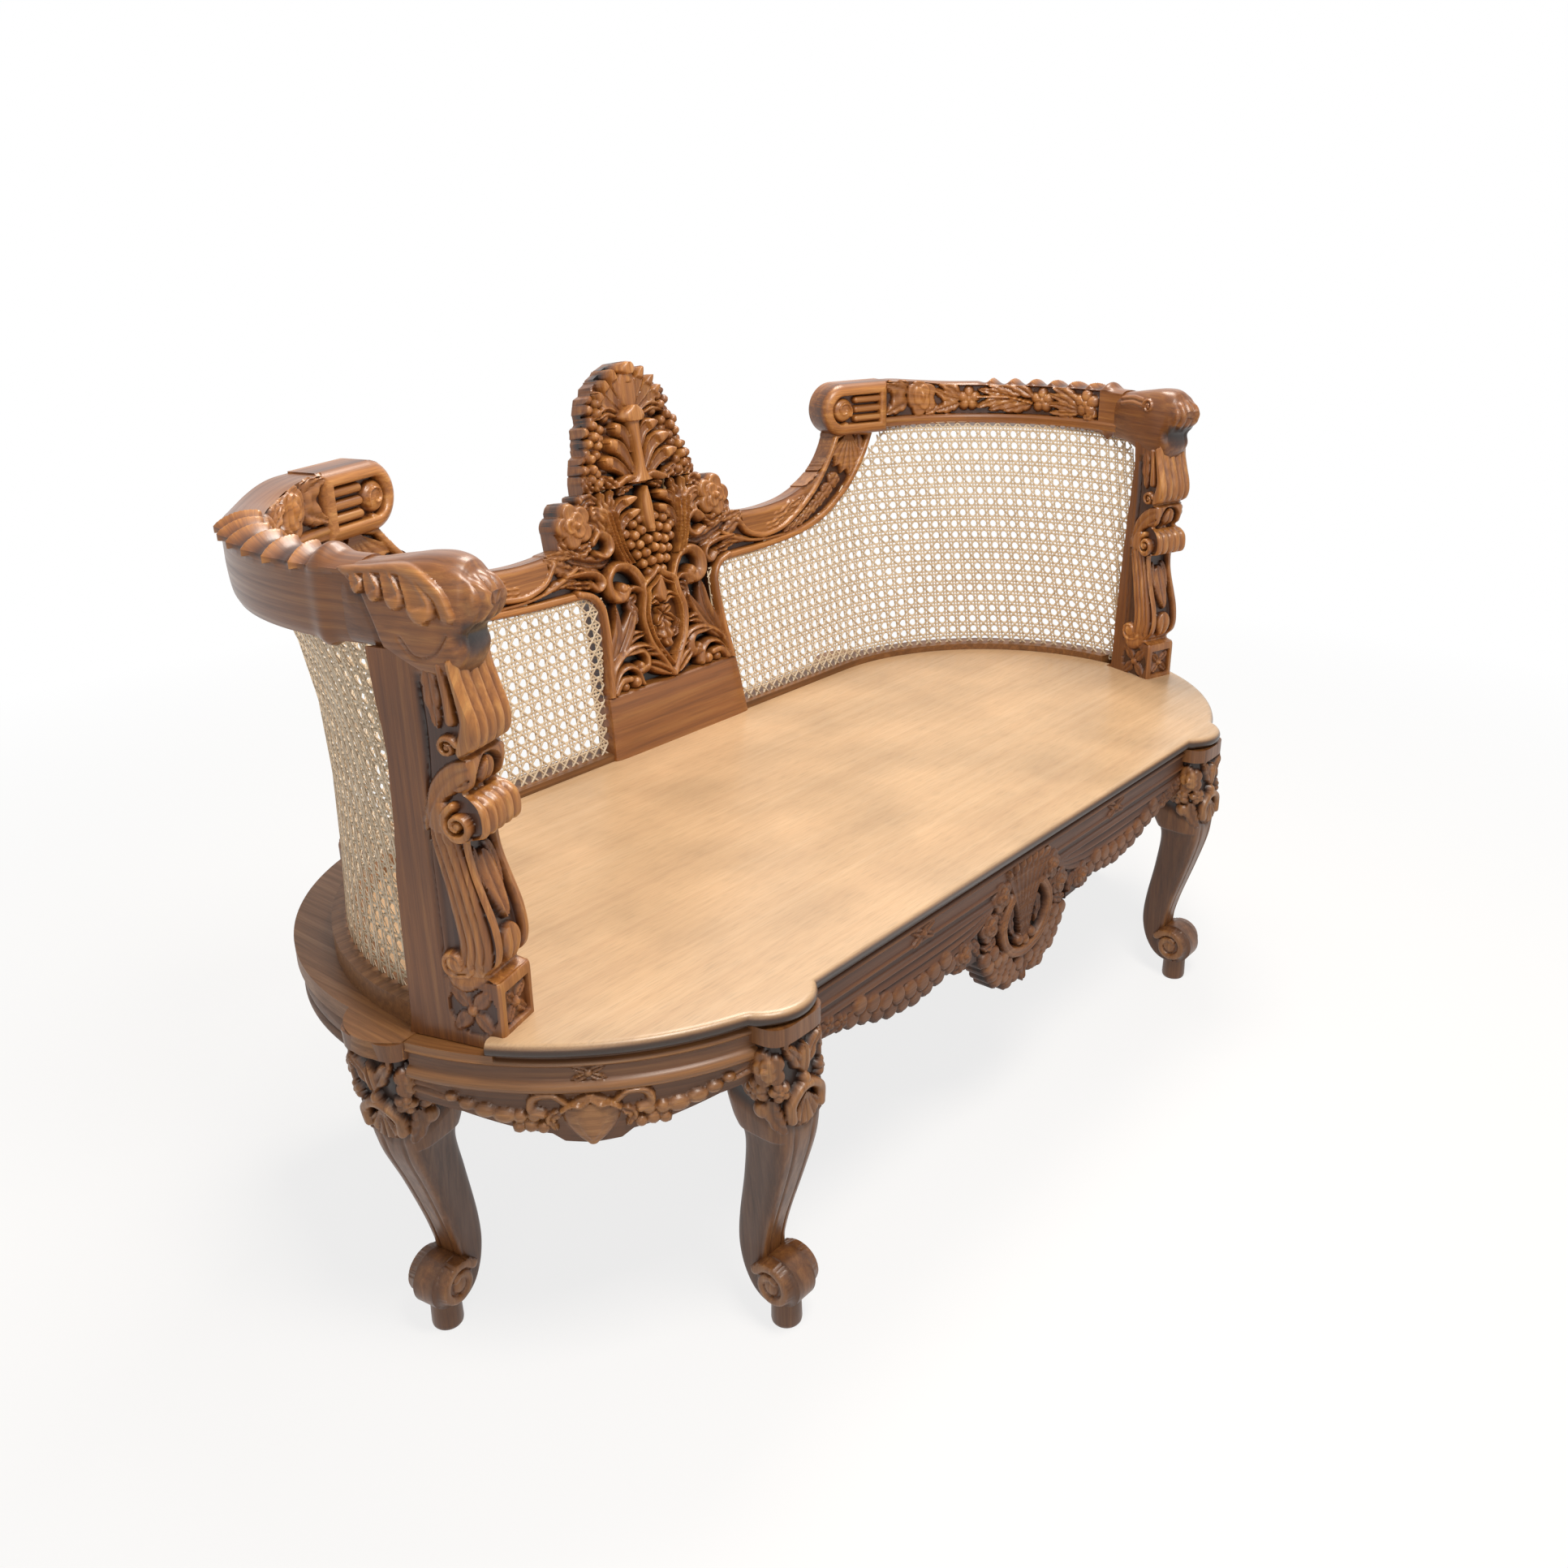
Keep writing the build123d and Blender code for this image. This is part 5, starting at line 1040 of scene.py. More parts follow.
def ribbons(paths, width, thick):
    """Flat strips along paths of (u, z, h) on the tub."""
    points, faces, grain = [], [], []
    for path in paths:
        run = np.gradient(path[:, :2], axis=0)
        side = np.column_stack([-run[:, 1], run[:, 0]]) / (np.hypot(*run.T)[:, None] + 1e-9) * width / 2
        start = sum(map(len, points))
        corners = []
        for across, lift in ((-1, -0.3), (1, -0.3), (0.55, 0.7), (-0.55, 0.7)):
            spot = path[:, :2] + side * across
            corners.append(on_tub(spot[:, 0], spot[:, 1], path[:, 2] + thick * lift))
        points.append(np.stack(corners, 1).reshape(-1, 3))
        way = np.cumsum(np.hypot(*run.T))
        corner_at, strip_at = np.tile([0, 2, 2, 0], len(path)), np.full(4 * len(path), start)
        grain.append(np.column_stack([corner_at, strip_at, np.repeat(way, 4)]))
        for k in range(len(path) - 1):
            a = start + 4 * k
            faces += [(a + i, a + (i + 1) % 4, a + 4 + (i + 1) % 4, a + 4 + i) for i in range(4)]
        faces += [(start, start + 3, start + 2, start + 1), (a + 4, a + 5, a + 6, a + 7)]
    return np.vstack(points), faces, np.vstack(grain)


def strips(lines):
    """The parts of straight lines (start, end, offset, sway) on the tub that lie in the cane's opening."""
    paths = []
    for start, end, offset, sway in lines:
        steps = int(np.hypot(end[0] - start[0], end[1] - start[1]) / (CANE_PITCH / 2)) + 1
        share = np.linspace(0, 1, steps)
        u, z = start[0] + (end[0] - start[0]) * share, start[1] + (end[1] - start[1]) * share
        inside = np.flatnonzero(cane_room(u, z) > -4)
        for run in np.split(inside, np.flatnonzero(np.diff(inside) > 1) + 1):
            if len(run) > 2:
                h = belly(u[run], z[run]) + offset + sway * np.cos(np.pi * run)
                paths.append(np.column_stack([u[run], z[run], h]))
    return paths


def stitch(u, z):
    """The path of one border stitch, laid over the weave."""
    return np.column_stack([u, z, belly(u, z) + STITCH_LIFT])


lines = []
for k in range(int(LINE_START / CANE_PITCH), int(LINE_END / CANE_PITCH)):
    for side in (-0.5, 0.5):
        u = k * CANE_PITCH + side * PAIR_GAP
        lines.append(((u, LINE_FOOT), (u, LINE_HEAD), -0.8, 0.25 * side))
for k in range(int(LINE_FOOT / CANE_PITCH), int(LINE_HEAD / CANE_PITCH) + 1):
    for side in (-0.5, 0.5):
        z = k * CANE_PITCH + side * PAIR_GAP
        lines.append(((LINE_START, z), (LINE_END, z), 0.0, 0.25 * side))
for k in range(-80, 140):
    start = (k + 0.5) * CANE_PITCH
    lines.append(((start + LINE_FOOT, LINE_FOOT), (start + LINE_HEAD, LINE_HEAD), 0.9, 0.35))
    lines.append(((start - LINE_FOOT, LINE_FOOT), (start - LINE_HEAD, LINE_HEAD), 1.2, -0.35))
stitches = []
for u in np.arange(560, 1000, STITCH_PITCH):
    stitches.append(stitch(np.linspace(u, u + 16, 5), np.full(5, CANE_HEAD - 5)))
for z in np.arange(436, 790, STITCH_PITCH):
    rise = np.linspace(z, z + 15, 5)
    stitches.append(stitch(np.interp(rise, (430, 815), (932, 1010)), rise))
weave = ribbons(strips(lines), STRIP_WIDTH, STRIP_THICK)
border = ribbons(stitches, STITCH_WIDTH, STITCH_THICK)
points, faces, grain, proud = join(*((*lot, np.full(len(lot[0]), PLAIN_PROUD)) for lot in (weave, border)))
cane, tree = new_material("split_rattan_cane")
place = add_node(tree, "ShaderNodeAttribute", attribute_name="grain").outputs["Vector"]
stretch = add_node(tree, "ShaderNodeMapping", {"Vector": place, "Scale": per_mm(3.0, 3.0, 45.0)})
tone = add_node(tree, "ShaderNodeTexNoise", {"Vector": stretch.outputs[0], "Scale": 1.0, "Detail": 2.0})
colour = add_node(
    tree, "ShaderNodeValToRGB", {0: tone.outputs[0]},
    stops=[(0.25, CANE_HEX[0]), (0.75, CANE_HEX[2]), (0.5, CANE_HEX[1])],
)
strip = add_node(
    tree, "ShaderNodeBsdfPrincipled", {"Base Color": colour.outputs[0], "Roughness": 0.42, "IOR": 1.5}
)
add_node(tree, "ShaderNodeOutputMaterial", {"Surface": strip.outputs[0]})
add_pair("woven_cane", points, faces, cane, "cane", ["cane_panel"], grain=grain, proud=proud)
print("cane:", len(faces), "faces a side")

# %% [markdown]
# ## The dip rails
# From the splat a carved rail dips along the top of the cane and climbs to the arm. It is bent to the
# tub, with a bead along its lower edge, a second rib that parts from it, and sprays of leaves that grow
# from the splat towards a veined leaf under the scroll.

# %% Dip rails
DIP_FLOOR, DIP_TOP, DIP_BACK = -6.0, 4, -28
dip = board((146, 552), (640, 813), DIP_FLOOR)
lower = smooth([
    (140, 649), (250, 651), (333, 658), (400, 674), (462, 708), (505, 752), (536, 800), (545, 815),
], 12)
upper = smooth([
    (446, 815), (436, 790), (408, 760), (370, 738), (320, 722), (270, 716), (220, 716), (140, 724),
], 12)
parting = smooth([
    (186, 706), (204, 685), (226, 676), (250, 673), (290, 679), (330, 696), (370, 720), (402, 747),
    (432, 779), (454, 810),
])
crown = follow(upper, dip.u, dip.v)[1]
dip.f = np.minimum(follow(lower, dip.u, dip.v)[1], crown)
sawn = dip.f.copy()
over_parting = (follow(parting, dip.u, dip.v)[1] > 0) & (dip.u > 196)
dip.h = np.where(over_parting, 1.5 - 5 * (1 - ease(crown, 0, 12)) ** 2, dip.h)
# Leaves at the splat, sprays along the rail, and pairs that grow towards the scroll
set_out(dip, leaf, (
    ([(150, 690), (176, 700), (200, 716)], 24, 4), ([(148, 712), (172, 716), (196, 718)], 20, 4),
    ([(146, 676), (176, 678), (212, 672)], 16, 4), ([(500, 800), (496, 766), (478, 736)], 30, 3),
))
set_out(dip, leaf, (
    ([(242, 684), (268, 686), (296, 696)], 17, 6), ([(262, 696), (292, 700), (318, 716)], 18, 6),
    ([(292, 704), (318, 708), (344, 716)], 16, 6), ([(302, 692), (328, 702), (352, 720)], 14, 6),
    ([(346, 734), (368, 742), (390, 748)], 16, 6), ([(356, 744), (382, 754), (408, 762)], 16, 6),
    ([(384, 750), (408, 768), (424, 788)], 14, 6),
), lobes=3)
for u, v, size in (
    (300, 674, 9), (316, 678, 12), (332, 683, 14), (349, 690, 17), (367, 698, 20), (386, 707, 22),
    (406, 718, 25), (427, 732, 28),
):
    leaf(dip, [(u - 8, v - 6), (u + 3, v), (u + 14, v + 9)], size, 3, lobes=2)
    leaf(dip, [(u - 4, v - 10), (u + 9, v - 5), (u + 20, v + 2)], 0.7 * size, 1, lobes=2)
fan(dip, (482, 804), 74, 0.70, 0.25, 6, 4)
# Bead along the lower edge, the rib that parts from it, and two short ones
rib(dip, [(448, 800), (478, 806), (520, 800)], 16, 5, groove=0.2)
rib(dip, [(146, 656), (250, 658), (333, 665), (398, 682), (458, 716), (500, 760), (528, 806)], 12, 5)
rib(dip, parting[::10], 11, 6, (0.8, 1.0))
rib(dip, [(146, 694), (172, 682), (204, 672), (240, 667), (290, 666)], 8, 4, (1.0, 0.6))
dip.f = np.minimum(dip.f, sawn + 1.5)
points, faces, grain, proud = cut_out(dip, on_tub, DIP_BACK, DIP_TOP)
proud = 0.25 + 0.75 * proud
add_pair("carved_dip_rail", points, faces, teak, "teak", ["dip_rail"], grain=grain[:, [1, 2, 0]], proud=proud)

# %% [markdown]
# ## The arm scrolls
# Each arm ends at the back in a rolled scroll, like the arm of an old sofa: a broad rolled edge runs
# round a sunk panel with three reeds and turns in to a button.

# %% Arm scrolls
VOLUTE_TIP = np.array([412.0, 313.0])
VOLUTE_ALONG = np.array([0.951, -0.309])
VOLUTE_OUT = np.array([-0.309, -0.951])
VOLUTE_MIDDLE, VOLUTE_RADIUS, VOLUTE_LENGTH = 840.5, 41.5, 130
VOLUTE_FLOOR, VOLUTE_TOP, VOLUTE_BACK = -8.0, 5, -43
ROUND_AT, BUTTON_AT = 41, 40
EDGE_ROLL, EDGE_WIDTH = 15.0, 18


def on_scroll(u, v, h):
    """A place on the front of the arm's scroll, u from its tip towards the arm."""
    xy = VOLUTE_TIP + np.outer(u, VOLUTE_ALONG) + np.outer(h, VOLUTE_OUT)
    return np.column_stack([xy, v])


face = board((-4, 134), (792, 886), VOLUTE_FLOOR)
round_end = np.hypot(np.minimum(face.u - ROUND_AT, 0), face.v - VOLUTE_MIDDLE)
face.f = np.minimum(VOLUTE_RADIUS - round_end, VOLUTE_LENGTH - face.u)
inset = np.clip(face.f, 0, 60)
to_edge = np.clip(EDGE_ROLL - inset, 0, EDGE_ROLL)
soften = EDGE_ROLL - np.sqrt(np.clip(EDGE_ROLL**2 - to_edge**2, 0, None))
rolled = VOLUTE_TOP - soften - 2 * ease(inset, 15, EDGE_WIDTH)
sunk = VOLUTE_FLOOR + 11 * ease(-inset, -20, -EDGE_WIDTH)
face.h = np.where(inset < EDGE_WIDTH, rolled, sunk)
for v in (VOLUTE_MIDDLE - 15, VOLUTE_MIDDLE, VOLUTE_MIDDLE + 15):
    rib(face, [(66, v), (92, v), (118, v)], 12.5, 1.5)
rib(face, [(120, 812), (119, VOLUTE_MIDDLE), (120, 869)], 12, 4)
rib(face, [(62, 866), (40, 869), (20, 852), (18, 832), (30, 815), (46, 818)], 8, 2)
berry(face, (BUTTON_AT, VOLUTE_MIDDLE), 19, 4)
rib(face, spiral((BUTTON_AT, VOLUTE_MIDDLE), 15.5, 4, 0.9, 1.1)[::3], 4.5, 5.5)
points, faces, grain, proud = cut_out(face, on_scroll, VOLUTE_BACK, VOLUTE_TOP)
proud = 0.35 + 0.65 * proud
add_pair("carved_volute", points, faces, teak, "teak", ["volute"], grain=grain[:, [1, 2, 0]], proud=proud)

# %% [markdown]
# ## The arm rails
# The rail that crowns the tub's end is bent in plan. Its hollow side is carved with flowers and
# acanthus above a plain bead, leaf tips flute its top and hang over its outer edge in a zigzag,
# and its outer side is left plain and smooth.

# %% Arm rails
RAIL_PLACE = np.array([440.0, 17.0])
RAIL_INSIDE, RAIL_OUTSIDE = 273.0, 315.0
RAIL_FLOOR, RAIL_CARVED_TOP = -6.0, 5
RAIL_STEPS, INSIDE_STEPS = 330, 36
FLOWER_HEIGHT = 847
FLUTE_PITCH, FLUTE_SLANT = 34.0, 0.3
sweep = np.radians(np.linspace(-19, 70.5, RAIL_STEPS))
rail_top = smooth([(RAIL_INSIDE + 1, 870), (281, 873.5), (294, 874), (306, 871), (RAIL_OUTSIDE + 1, 866)], 8)
rail_lip = [(RAIL_OUTSIDE + 1, 862.5), (RAIL_OUTSIDE - 1, 860)]
rail_side = smooth([
    (RAIL_OUTSIDE, 854), (RAIL_OUTSIDE, 830), (RAIL_OUTSIDE - 2, 808), (RAIL_OUTSIDE - 6, 798),
], 6)
section = np.vstack([
    np.column_stack([np.full(INSIDE_STEPS, RAIL_INSIDE), np.linspace(808, 869, INSIDE_STEPS)]),
    rail_top, rail_lip, rail_side, [(304, 797), (290, 800)],
])
hang = np.zeros(len(section))
hang[INSIDE_STEPS:INSIDE_STEPS + len(rail_top) + 1] = ease(np.arange(len(rail_top) + 1), 0, 6)
turn, spot = np.meshgrid(sweep, np.arange(len(section)), indexing="ij")
radius, height = section[spot, 0], section[spot, 1]
along, over, inside = RAIL_INSIDE * turn, hang[spot], spot < INSIDE_STEPS
at_scroll = ease(along, 200, 315) * ease(height, 835, 866)
lifted = height + at_scroll * (880 - height)
rings = np.stack([
    RAIL_PLACE[0] + radius * np.cos(turn), RAIL_PLACE[1] + radius * np.sin(turn), lifted,
], -1)
# Only the inside is carved as a board, so the rest is moved out of the forms' reach
wall = Ground(along, height + np.where(inside, 0, 400), RAIL_FLOOR)
wall.h = np.where(inside & (height > 822) & (along > -42), RAIL_FLOOR, 0.0).ravel()
rib(wall, [(-90, 817), (120, 817), (340, 817)], 8, 1.5)
for points_on, width in (
    ([(-4, 842), (18, 858), (48, 872)], 22), ([(-2, 838), (24, 850), (52, 858)], 17),
    ([(0, 834), (26, 840), (54, 842)], 16), ([(-2, 830), (24, 829), (50, 828)], 14),
    ([(80, 852), (108, 868), (134, 874)], 20), ([(98, 854), (128, 866), (160, 872)], 20),
    ([(118, 852), (146, 858), (172, 862)], 16), ([(80, 842), (106, 834), (130, 828)], 20),
    ([(100, 844), (128, 838), (154, 828)], 19), ([(124, 848), (150, 842), (174, 832)], 17),
    ([(202, 854), (222, 866), (244, 874)], 22), ([(202, 846), (224, 850), (248, 858)], 18),
    ([(202, 840), (222, 834), (246, 828)], 20), ([(292, 856), (314, 868), (338, 872)], 20),
    ([(294, 850), (318, 854), (342, 858)], 17), ([(294, 842), (316, 836), (338, 828)], 20),
    ([(240, 838), (250, 830), (262, 824)], 16), ([(-34, 836), (-26, 828), (-12, 824)], 16),
):
    leaf(wall, points_on, 1.15 * width, RAIL_CARVED_TOP, lobes=3)
rib(wall, [(80, 842), (120, 850), (172, 850)], 4, RAIL_CARVED_TOP)
for u, size in ((-16, 24), (63, 21), (187, 21)):
    flower(wall, (u, FLOWER_HEIGHT), size, 5, 6, turn=0.05)
rose(wall, (268, FLOWER_HEIGHT), 26, 8)
# Slanted flutes cross the top, and the rail curls up where the knuckle begins
fluted = ease(along, -46, -38) * (1 - ease(along, 150, 175))
flute = 1 - np.abs(np.cos(np.pi * (along + FLUTE_SLANT * (radius - RAIL_INSIDE)) / FLUTE_PITCH))
carved = wall.h.reshape(turn.shape) + over * (10.0 * flute - 4.5) * fluted
crown = np.where(inside, 0, 1) * (1 - np.clip((radius - 294) / 24, -1, 1) ** 2)
curl = np.exp(-(((along + 52) / 9) ** 2)) * crown * 9
points, faces = skin(raise_skin(rings, carved + curl))
grain = np.stack([radius, height, along], -1).reshape(-1, 3)
inner_level = 0.3 + 0.7 * level_of(carved, RAIL_FLOOR, RAIL_CARVED_TOP).reshape(spot.shape) ** 0.8
proud = np.clip(np.where(inside, inner_level, 0.56 + 0.07 * carved * over).ravel(), 0, 1)
add_pair("carved_arm_rail", points, faces, teak, "teak", ["top_rail"], grain=grain, proud=proud)

# %% [markdown]
# ## The arm posts
# Each arm stands on a post carved in the round. From the top down: hanging petals, a hood with a bud
# under it, a reeded roll, and a long S scroll whose hollow front holds a husk and a bud, all on a square
# plinth with a four-petal flower. The post is skinned with rings that follow its front line, and the
# sides and the front are carved separately on the unrolled surface.

# %% Arm posts
POST_FOOT, POST_HEAD = 404, 800
FRONT_LINE = smooth([
    (0, 404), (0, 440), (0, 474), (4, 478), (13, 482), (10, 489), (1, 498), (-3, 515), (0, 540), (8, 565),
    (16, 590), (20, 612), (19, 624), (8, 627), (-2, 634), (-4, 646), (-1, 658), (9, 666), (16, 671), (9, 678),
    (5, 692), (6, 703), (12, 708), (3, 713), (-3, 724), (-3, 740), (4, 762), (10, 782), (12, 800),
], 14)
HALF_WIDTHS = (
    (404, 28), (474, 28), (478, 27), (484, 24), (500, 28), (560, 28), (600, 27), (626, 28),
    (634, 31), (656, 31), (668, 27), (700, 27), (712, 27), (730, 28), (760, 27), (800, 27),
)
OUTER_REAR = ((404, 107), (428, 104), (600, 100), (640, 95), (700, 92), (740, 97), (800, 101))
INNER_REAR = ((404, 97), (426, 95), (436, 82), (600, 76), (680, 70), (720, 65), (760, 62), (800, 65))
STILE_HALF = 27.5
FRONT_COUNT, REAR_COUNT = 38, 6
EDGE_ROUND = 2.5
SIDE_FLOOR, HOLLOW_FLOOR = -3.0, -9.0
PLINTH_SIDE, PLINTH_FRONT = (33, 444), (0, 445)

across = np.linspace(-1, 1, FRONT_COUNT)
corner = EDGE_ROUND * np.clip((np.abs(across) - 0.86) / 0.14, 0, 1) ** 2
back_share = np.concatenate([np.linspace(0, 0.62, 43), np.linspace(0.62, 1, 14)[1:]])
thin = ease(back_share, 0.25, 0.55)
rear_w = np.linspace(STILE_HALF, -STILE_HALF, REAR_COUNT + 2)[1:-1]
rings = []
for (front, z), level_z in zip(FRONT_LINE, np.linspace(POST_FOOT, POST_HEAD, len(FRONT_LINE))):
    wide, rear_out, rear_in = (np.interp(z, *zip(*line)) for line in (HALF_WIDTHS, OUTER_REAR, INNER_REAR))
    z_rear = 0.5 * z + 0.5 * level_z
    face_ring = np.column_stack([across * wide, front + corner, np.full(FRONT_COUNT, z)])
    thickness = wide + (STILE_HALF - wide) * thin
    outer, inner = (
        np.column_stack([
            hand * thickness, front + EDGE_ROUND + (rear - front) * back_share, z + (z_rear - z) * back_share,
        ])
        for hand, rear in ((1, rear_out), (-1, rear_in))
    )
    rear_d = np.interp(rear_w, (-STILE_HALF, STILE_HALF), (rear_in, rear_out))
    rear_ring = np.column_stack([rear_w, rear_d, np.full(REAR_COUNT, z_rear)])
    rings.append(np.vstack([face_ring, outer[1:], rear_ring, inner[:0:-1]]))
local = np.array(rings)
shape = local.shape[:2]
order = np.arange(shape[1])
is_front = order < FRONT_COUNT
rear_start = FRONT_COUNT + len(back_share)
is_rear = (order >= rear_start) & (order < rear_start + REAR_COUNT)
print("arm post:", shape[0], "rings of", shape[1], "points")

# %% Arm posts: carving the sides and the front
side = Ground(local[..., 1], local[..., 2], SIDE_FLOOR)
side.h = SIDE_FLOOR * (1 - ease(side.u, 52, 60)) * ease(side.v, 476, 480) * (1 - ease(side.v, 776, 784))
in_plinth = (side.v < 474) & (np.hypot(side.u - PLINTH_SIDE[0], side.v - PLINTH_SIDE[1]) < 27)
side.h = np.where(in_plinth, SIDE_FLOOR, side.h)
band = [(46, 652), (44, 630), (38, 600), (31, 570), (25, 540), (22, 515), (26, 494), (40, 482)]
rib(side, band, 38, 5, (0.7, 1.0), power=4)
for shift in (-10, -1, 8):
    gouge(side, [(u + shift, v + 0.2 * shift) for u, v in band[1:-1]], 1.7, 2.6)
scroll(side, (22, 642), 22, 0.2, -1.4, 9, 7)
gouge(side, [(44, 664), (54, 648), (58, 620)], 1.6, 3)
scroll(side, (45, 495), 22, 0.55, 1.3, 8, 7)
berry(side, (46, 495), 10.5, 8)
leaf(side, [(-6, 700), (22, 690), (44, 668), (60, 630)], 24, 5, lobes=0, vein=0.2)
leaf(side, [(10, 682), (28, 676), (40, 664)], 16, 4, lobes=2)
scroll(side, (28, 715), 14, 0.45, -1.2, 7, 5)
rib(side, [(16, 792), (9, 762), (5, 738), (12, 712)], 16, 5, (0.7, 1.1))
rib(side, [(28, 790), (24, 762), (22, 740)], 11, 4, (0.7, 1.0))
leaf(side, [(42, 790), (40, 762), (36, 730)], 20, 3, lobes=3)
gouge(side, [(60, 478), (60, 540), (60, 610), (55, 670), (52, 720), (54, 770)], 2.0, 2.2)
for du, dv in ((1, 1), (-1, 1), (1, -1), (-1, -1)):
    petal = [(PLINTH_SIDE[0] + a * du, PLINTH_SIDE[1] + b * dv) for a, b in ((3, 3), (13, 14), (23, 24))]
    leaf(side, petal, 17, 2, lobes=0)
berry(side, PLINTH_SIDE, 6, 4)

front = Ground(local[..., 0], local[..., 2], HOLLOW_FLOOR, mirrored=True)
front.h = np.zeros(front.u.size)
hollow = ease(front.v, 486, 494) * (1 - ease(front.v, 620, 626)) * (1 - ease(front.u, 17, 20))
hood = ease(front.v, 668, 672) * (1 - ease(np.hypot(front.u, np.maximum(front.v - 684, 0)), 18, 21))
recess = 1 - ease(np.maximum(front.u, np.abs(front.v - PLINTH_FRONT[1])), 19, 20.5)
front.h -= 9 * hollow + 9 * hood + 5 * recess
set_out(front, leaf, (
    ([(0, 606), (0, 575), (0, 536)], 28, 1), ([(10, 612), (14, 590), (8, 560)], 12, -1),
    ([(0, 532), (0, 510), (0, 486)], 30, 3), ([(0, 668), (0, 686), (0, 702)], 24, 2),
    ([(2, 447), (9, 454), (17, 462)], 13, 0), ([(2, 443), (9, 436), (17, 428)], 13, 0),
), lobes=0)
berry(front, PLINTH_FRONT, 5, 2)
reeds = np.abs(np.cos(np.pi * front.true_u / 13.0)) ** 0.8
front.h += ease(front.v, 626, 632) * (1 - ease(front.v, 664, 668)) * (4 * reeds - 2)
front.h += ease(front.v, 711, 718) * (1 - ease(front.v, 770, 796)) * (5 * reeds - 3)

carved = np.where(is_front, front.h.reshape(shape), np.where(is_rear, 0, side.h.reshape(shape)))
xy = POST_PLACE + local[..., :1] * POST_OUT + local[..., 1:2] * POST_REAR
points, faces = skin(raise_skin(np.concatenate([xy, local[..., 2:]], -1), carved))
front_level = 0.15 + 0.85 * level_of(front.h, HOLLOW_FLOOR, 3).reshape(shape)
side_level = level_of(side.h, -6, 7).reshape(shape) ** 0.8
proud = np.where(is_front, front_level, np.where(is_rear, 0.6, side_level)).ravel()
grain = local.reshape(-1, 3)
add_pair("carved_arm_post", points, faces, teak, "teak", ["arm_post"], grain=grain, proud=proud)

# %% [markdown]
# ## The arm knuckles
# The hand rests on a rounded knuckle that rolls over at the front into a scalloped lip. A leaf's stem
# runs along the outer side and hollow lobes hang from it, larger towards the front. A small scroll and
# two reeds close the inner side.

# %% Arm knuckles
# Depth behind the nose, foot and head heights, and half width
STATIONS = smooth([
    (126, 796, 870, 21), (112, 796, 872, 24), (96, 794, 874, 26), (80, 788, 877, 27.5), (62, 779, 880, 28.5),
    (44, 773, 883, 29.5), (26, 773, 884, 29.5), (12, 779, 883, 28.5), (4, 791, 880, 27), (0, 805, 876, 25.5),
    (-4, 820, 871, 24), (-10, 830, 865, 21.5), (-15, 837, 859, 18), (-18, 844, 854, 13),
], 11)
KNUCKLE_AROUND = 240
KNUCKLE_FLOOR = -2.5
BACK_SQUARENESS, NOSE_SQUARENESS = 3.6, 2.3
depth, foot, head, wide = STATIONS.T[:, :, None]
unit = oval(KNUCKLE_AROUND, BACK_SQUARENESS)
nosed_in = ease(-depth, -30, 6)[..., None]
units = unit * (1 - nosed_in) + oval(KNUCKLE_AROUND, NOSE_SQUARENESS) * nosed_in
ring_w = wide * units[..., 0]
ring_z = (foot + head) / 2 + (head - foot) / 2 * units[..., 1]
ring_d = np.repeat(depth, KNUCKLE_AROUND, 1)

outer = Ground(ring_d, ring_z, KNUCKLE_FLOOR)
leaf_top = np.interp(outer.u, (8, 40, 70, 122), (852, 868, 870, 864))
under_leaf = ease(outer.u, 14, 24) * (1 - ease(outer.u, 108, 120))
outer.h = -3.5 * under_leaf * np.exp(-(((leaf_top - 15 - outer.v) / 11) ** 2))
set_out(outer, finger, (
    ([(110, 864), (105, 857), (100, 849)], 15, 4.5), ([(93, 867), (87, 856), (81, 844)], 18, 5),
    ([(73, 868), (66, 855), (60, 839)], 22, 5.5), ([(50, 866), (40, 850), (33, 829)], 30, 6.5),
), roll=0.7)
rib(outer, [(124, 864), (96, 869), (66, 872), (40, 868), (20, 854), (12, 836)], 13, 6, (0.7, 1.2), tilt=-0.3)
chin = follow(smooth([(124, 860), (104, 842), (92, 818), (86, 790), (84, 770)]), outer.u, outer.v)[1]
outer.h += 2.5 * ease(-chin, 0, 5) - 2.0 * np.exp(-((chin / 2.5) ** 2))
gouge(outer, [(16, 818), (30, 800), (50, 796), (64, 812)], 1.8, 2.4)

inner = Ground(ring_d, ring_z, KNUCKLE_FLOOR)
inner.h = np.zeros(ring_d.size)
scroll(inner, (45, 857), 15, 0.0, 1.3, 5.5, 3)
for z in (866, 858):
    rib(inner, [(60, z), (84, z + 2), (108, z - 2)], 7, 2)

sideways = ease(np.abs(unit[:, 0]), 0.6, 0.88)
lip = np.abs(np.cos(np.pi * ring_w / 12)) * ease(-ring_d, 2, 12)
hollow = np.exp(-(((ring_z - 815) / 9) ** 2)) * (1 - ease(ring_d, 4, 16))
cheeks = np.where(unit[:, 0] < 0, inner.h.reshape(ring_d.shape), outer.h.reshape(ring_d.shape))
carved = cheeks * sideways + 3 * lip - 6 * hollow
xy = POST_PLACE + ring_w[..., None] * POST_OUT + ring_d[..., None] * POST_REAR
points, faces = skin(raise_skin(np.concatenate([xy, ring_z[..., None]], -1), carved))
grain = np.stack([ring_w, ring_z, ring_d], -1).reshape(-1, 3)
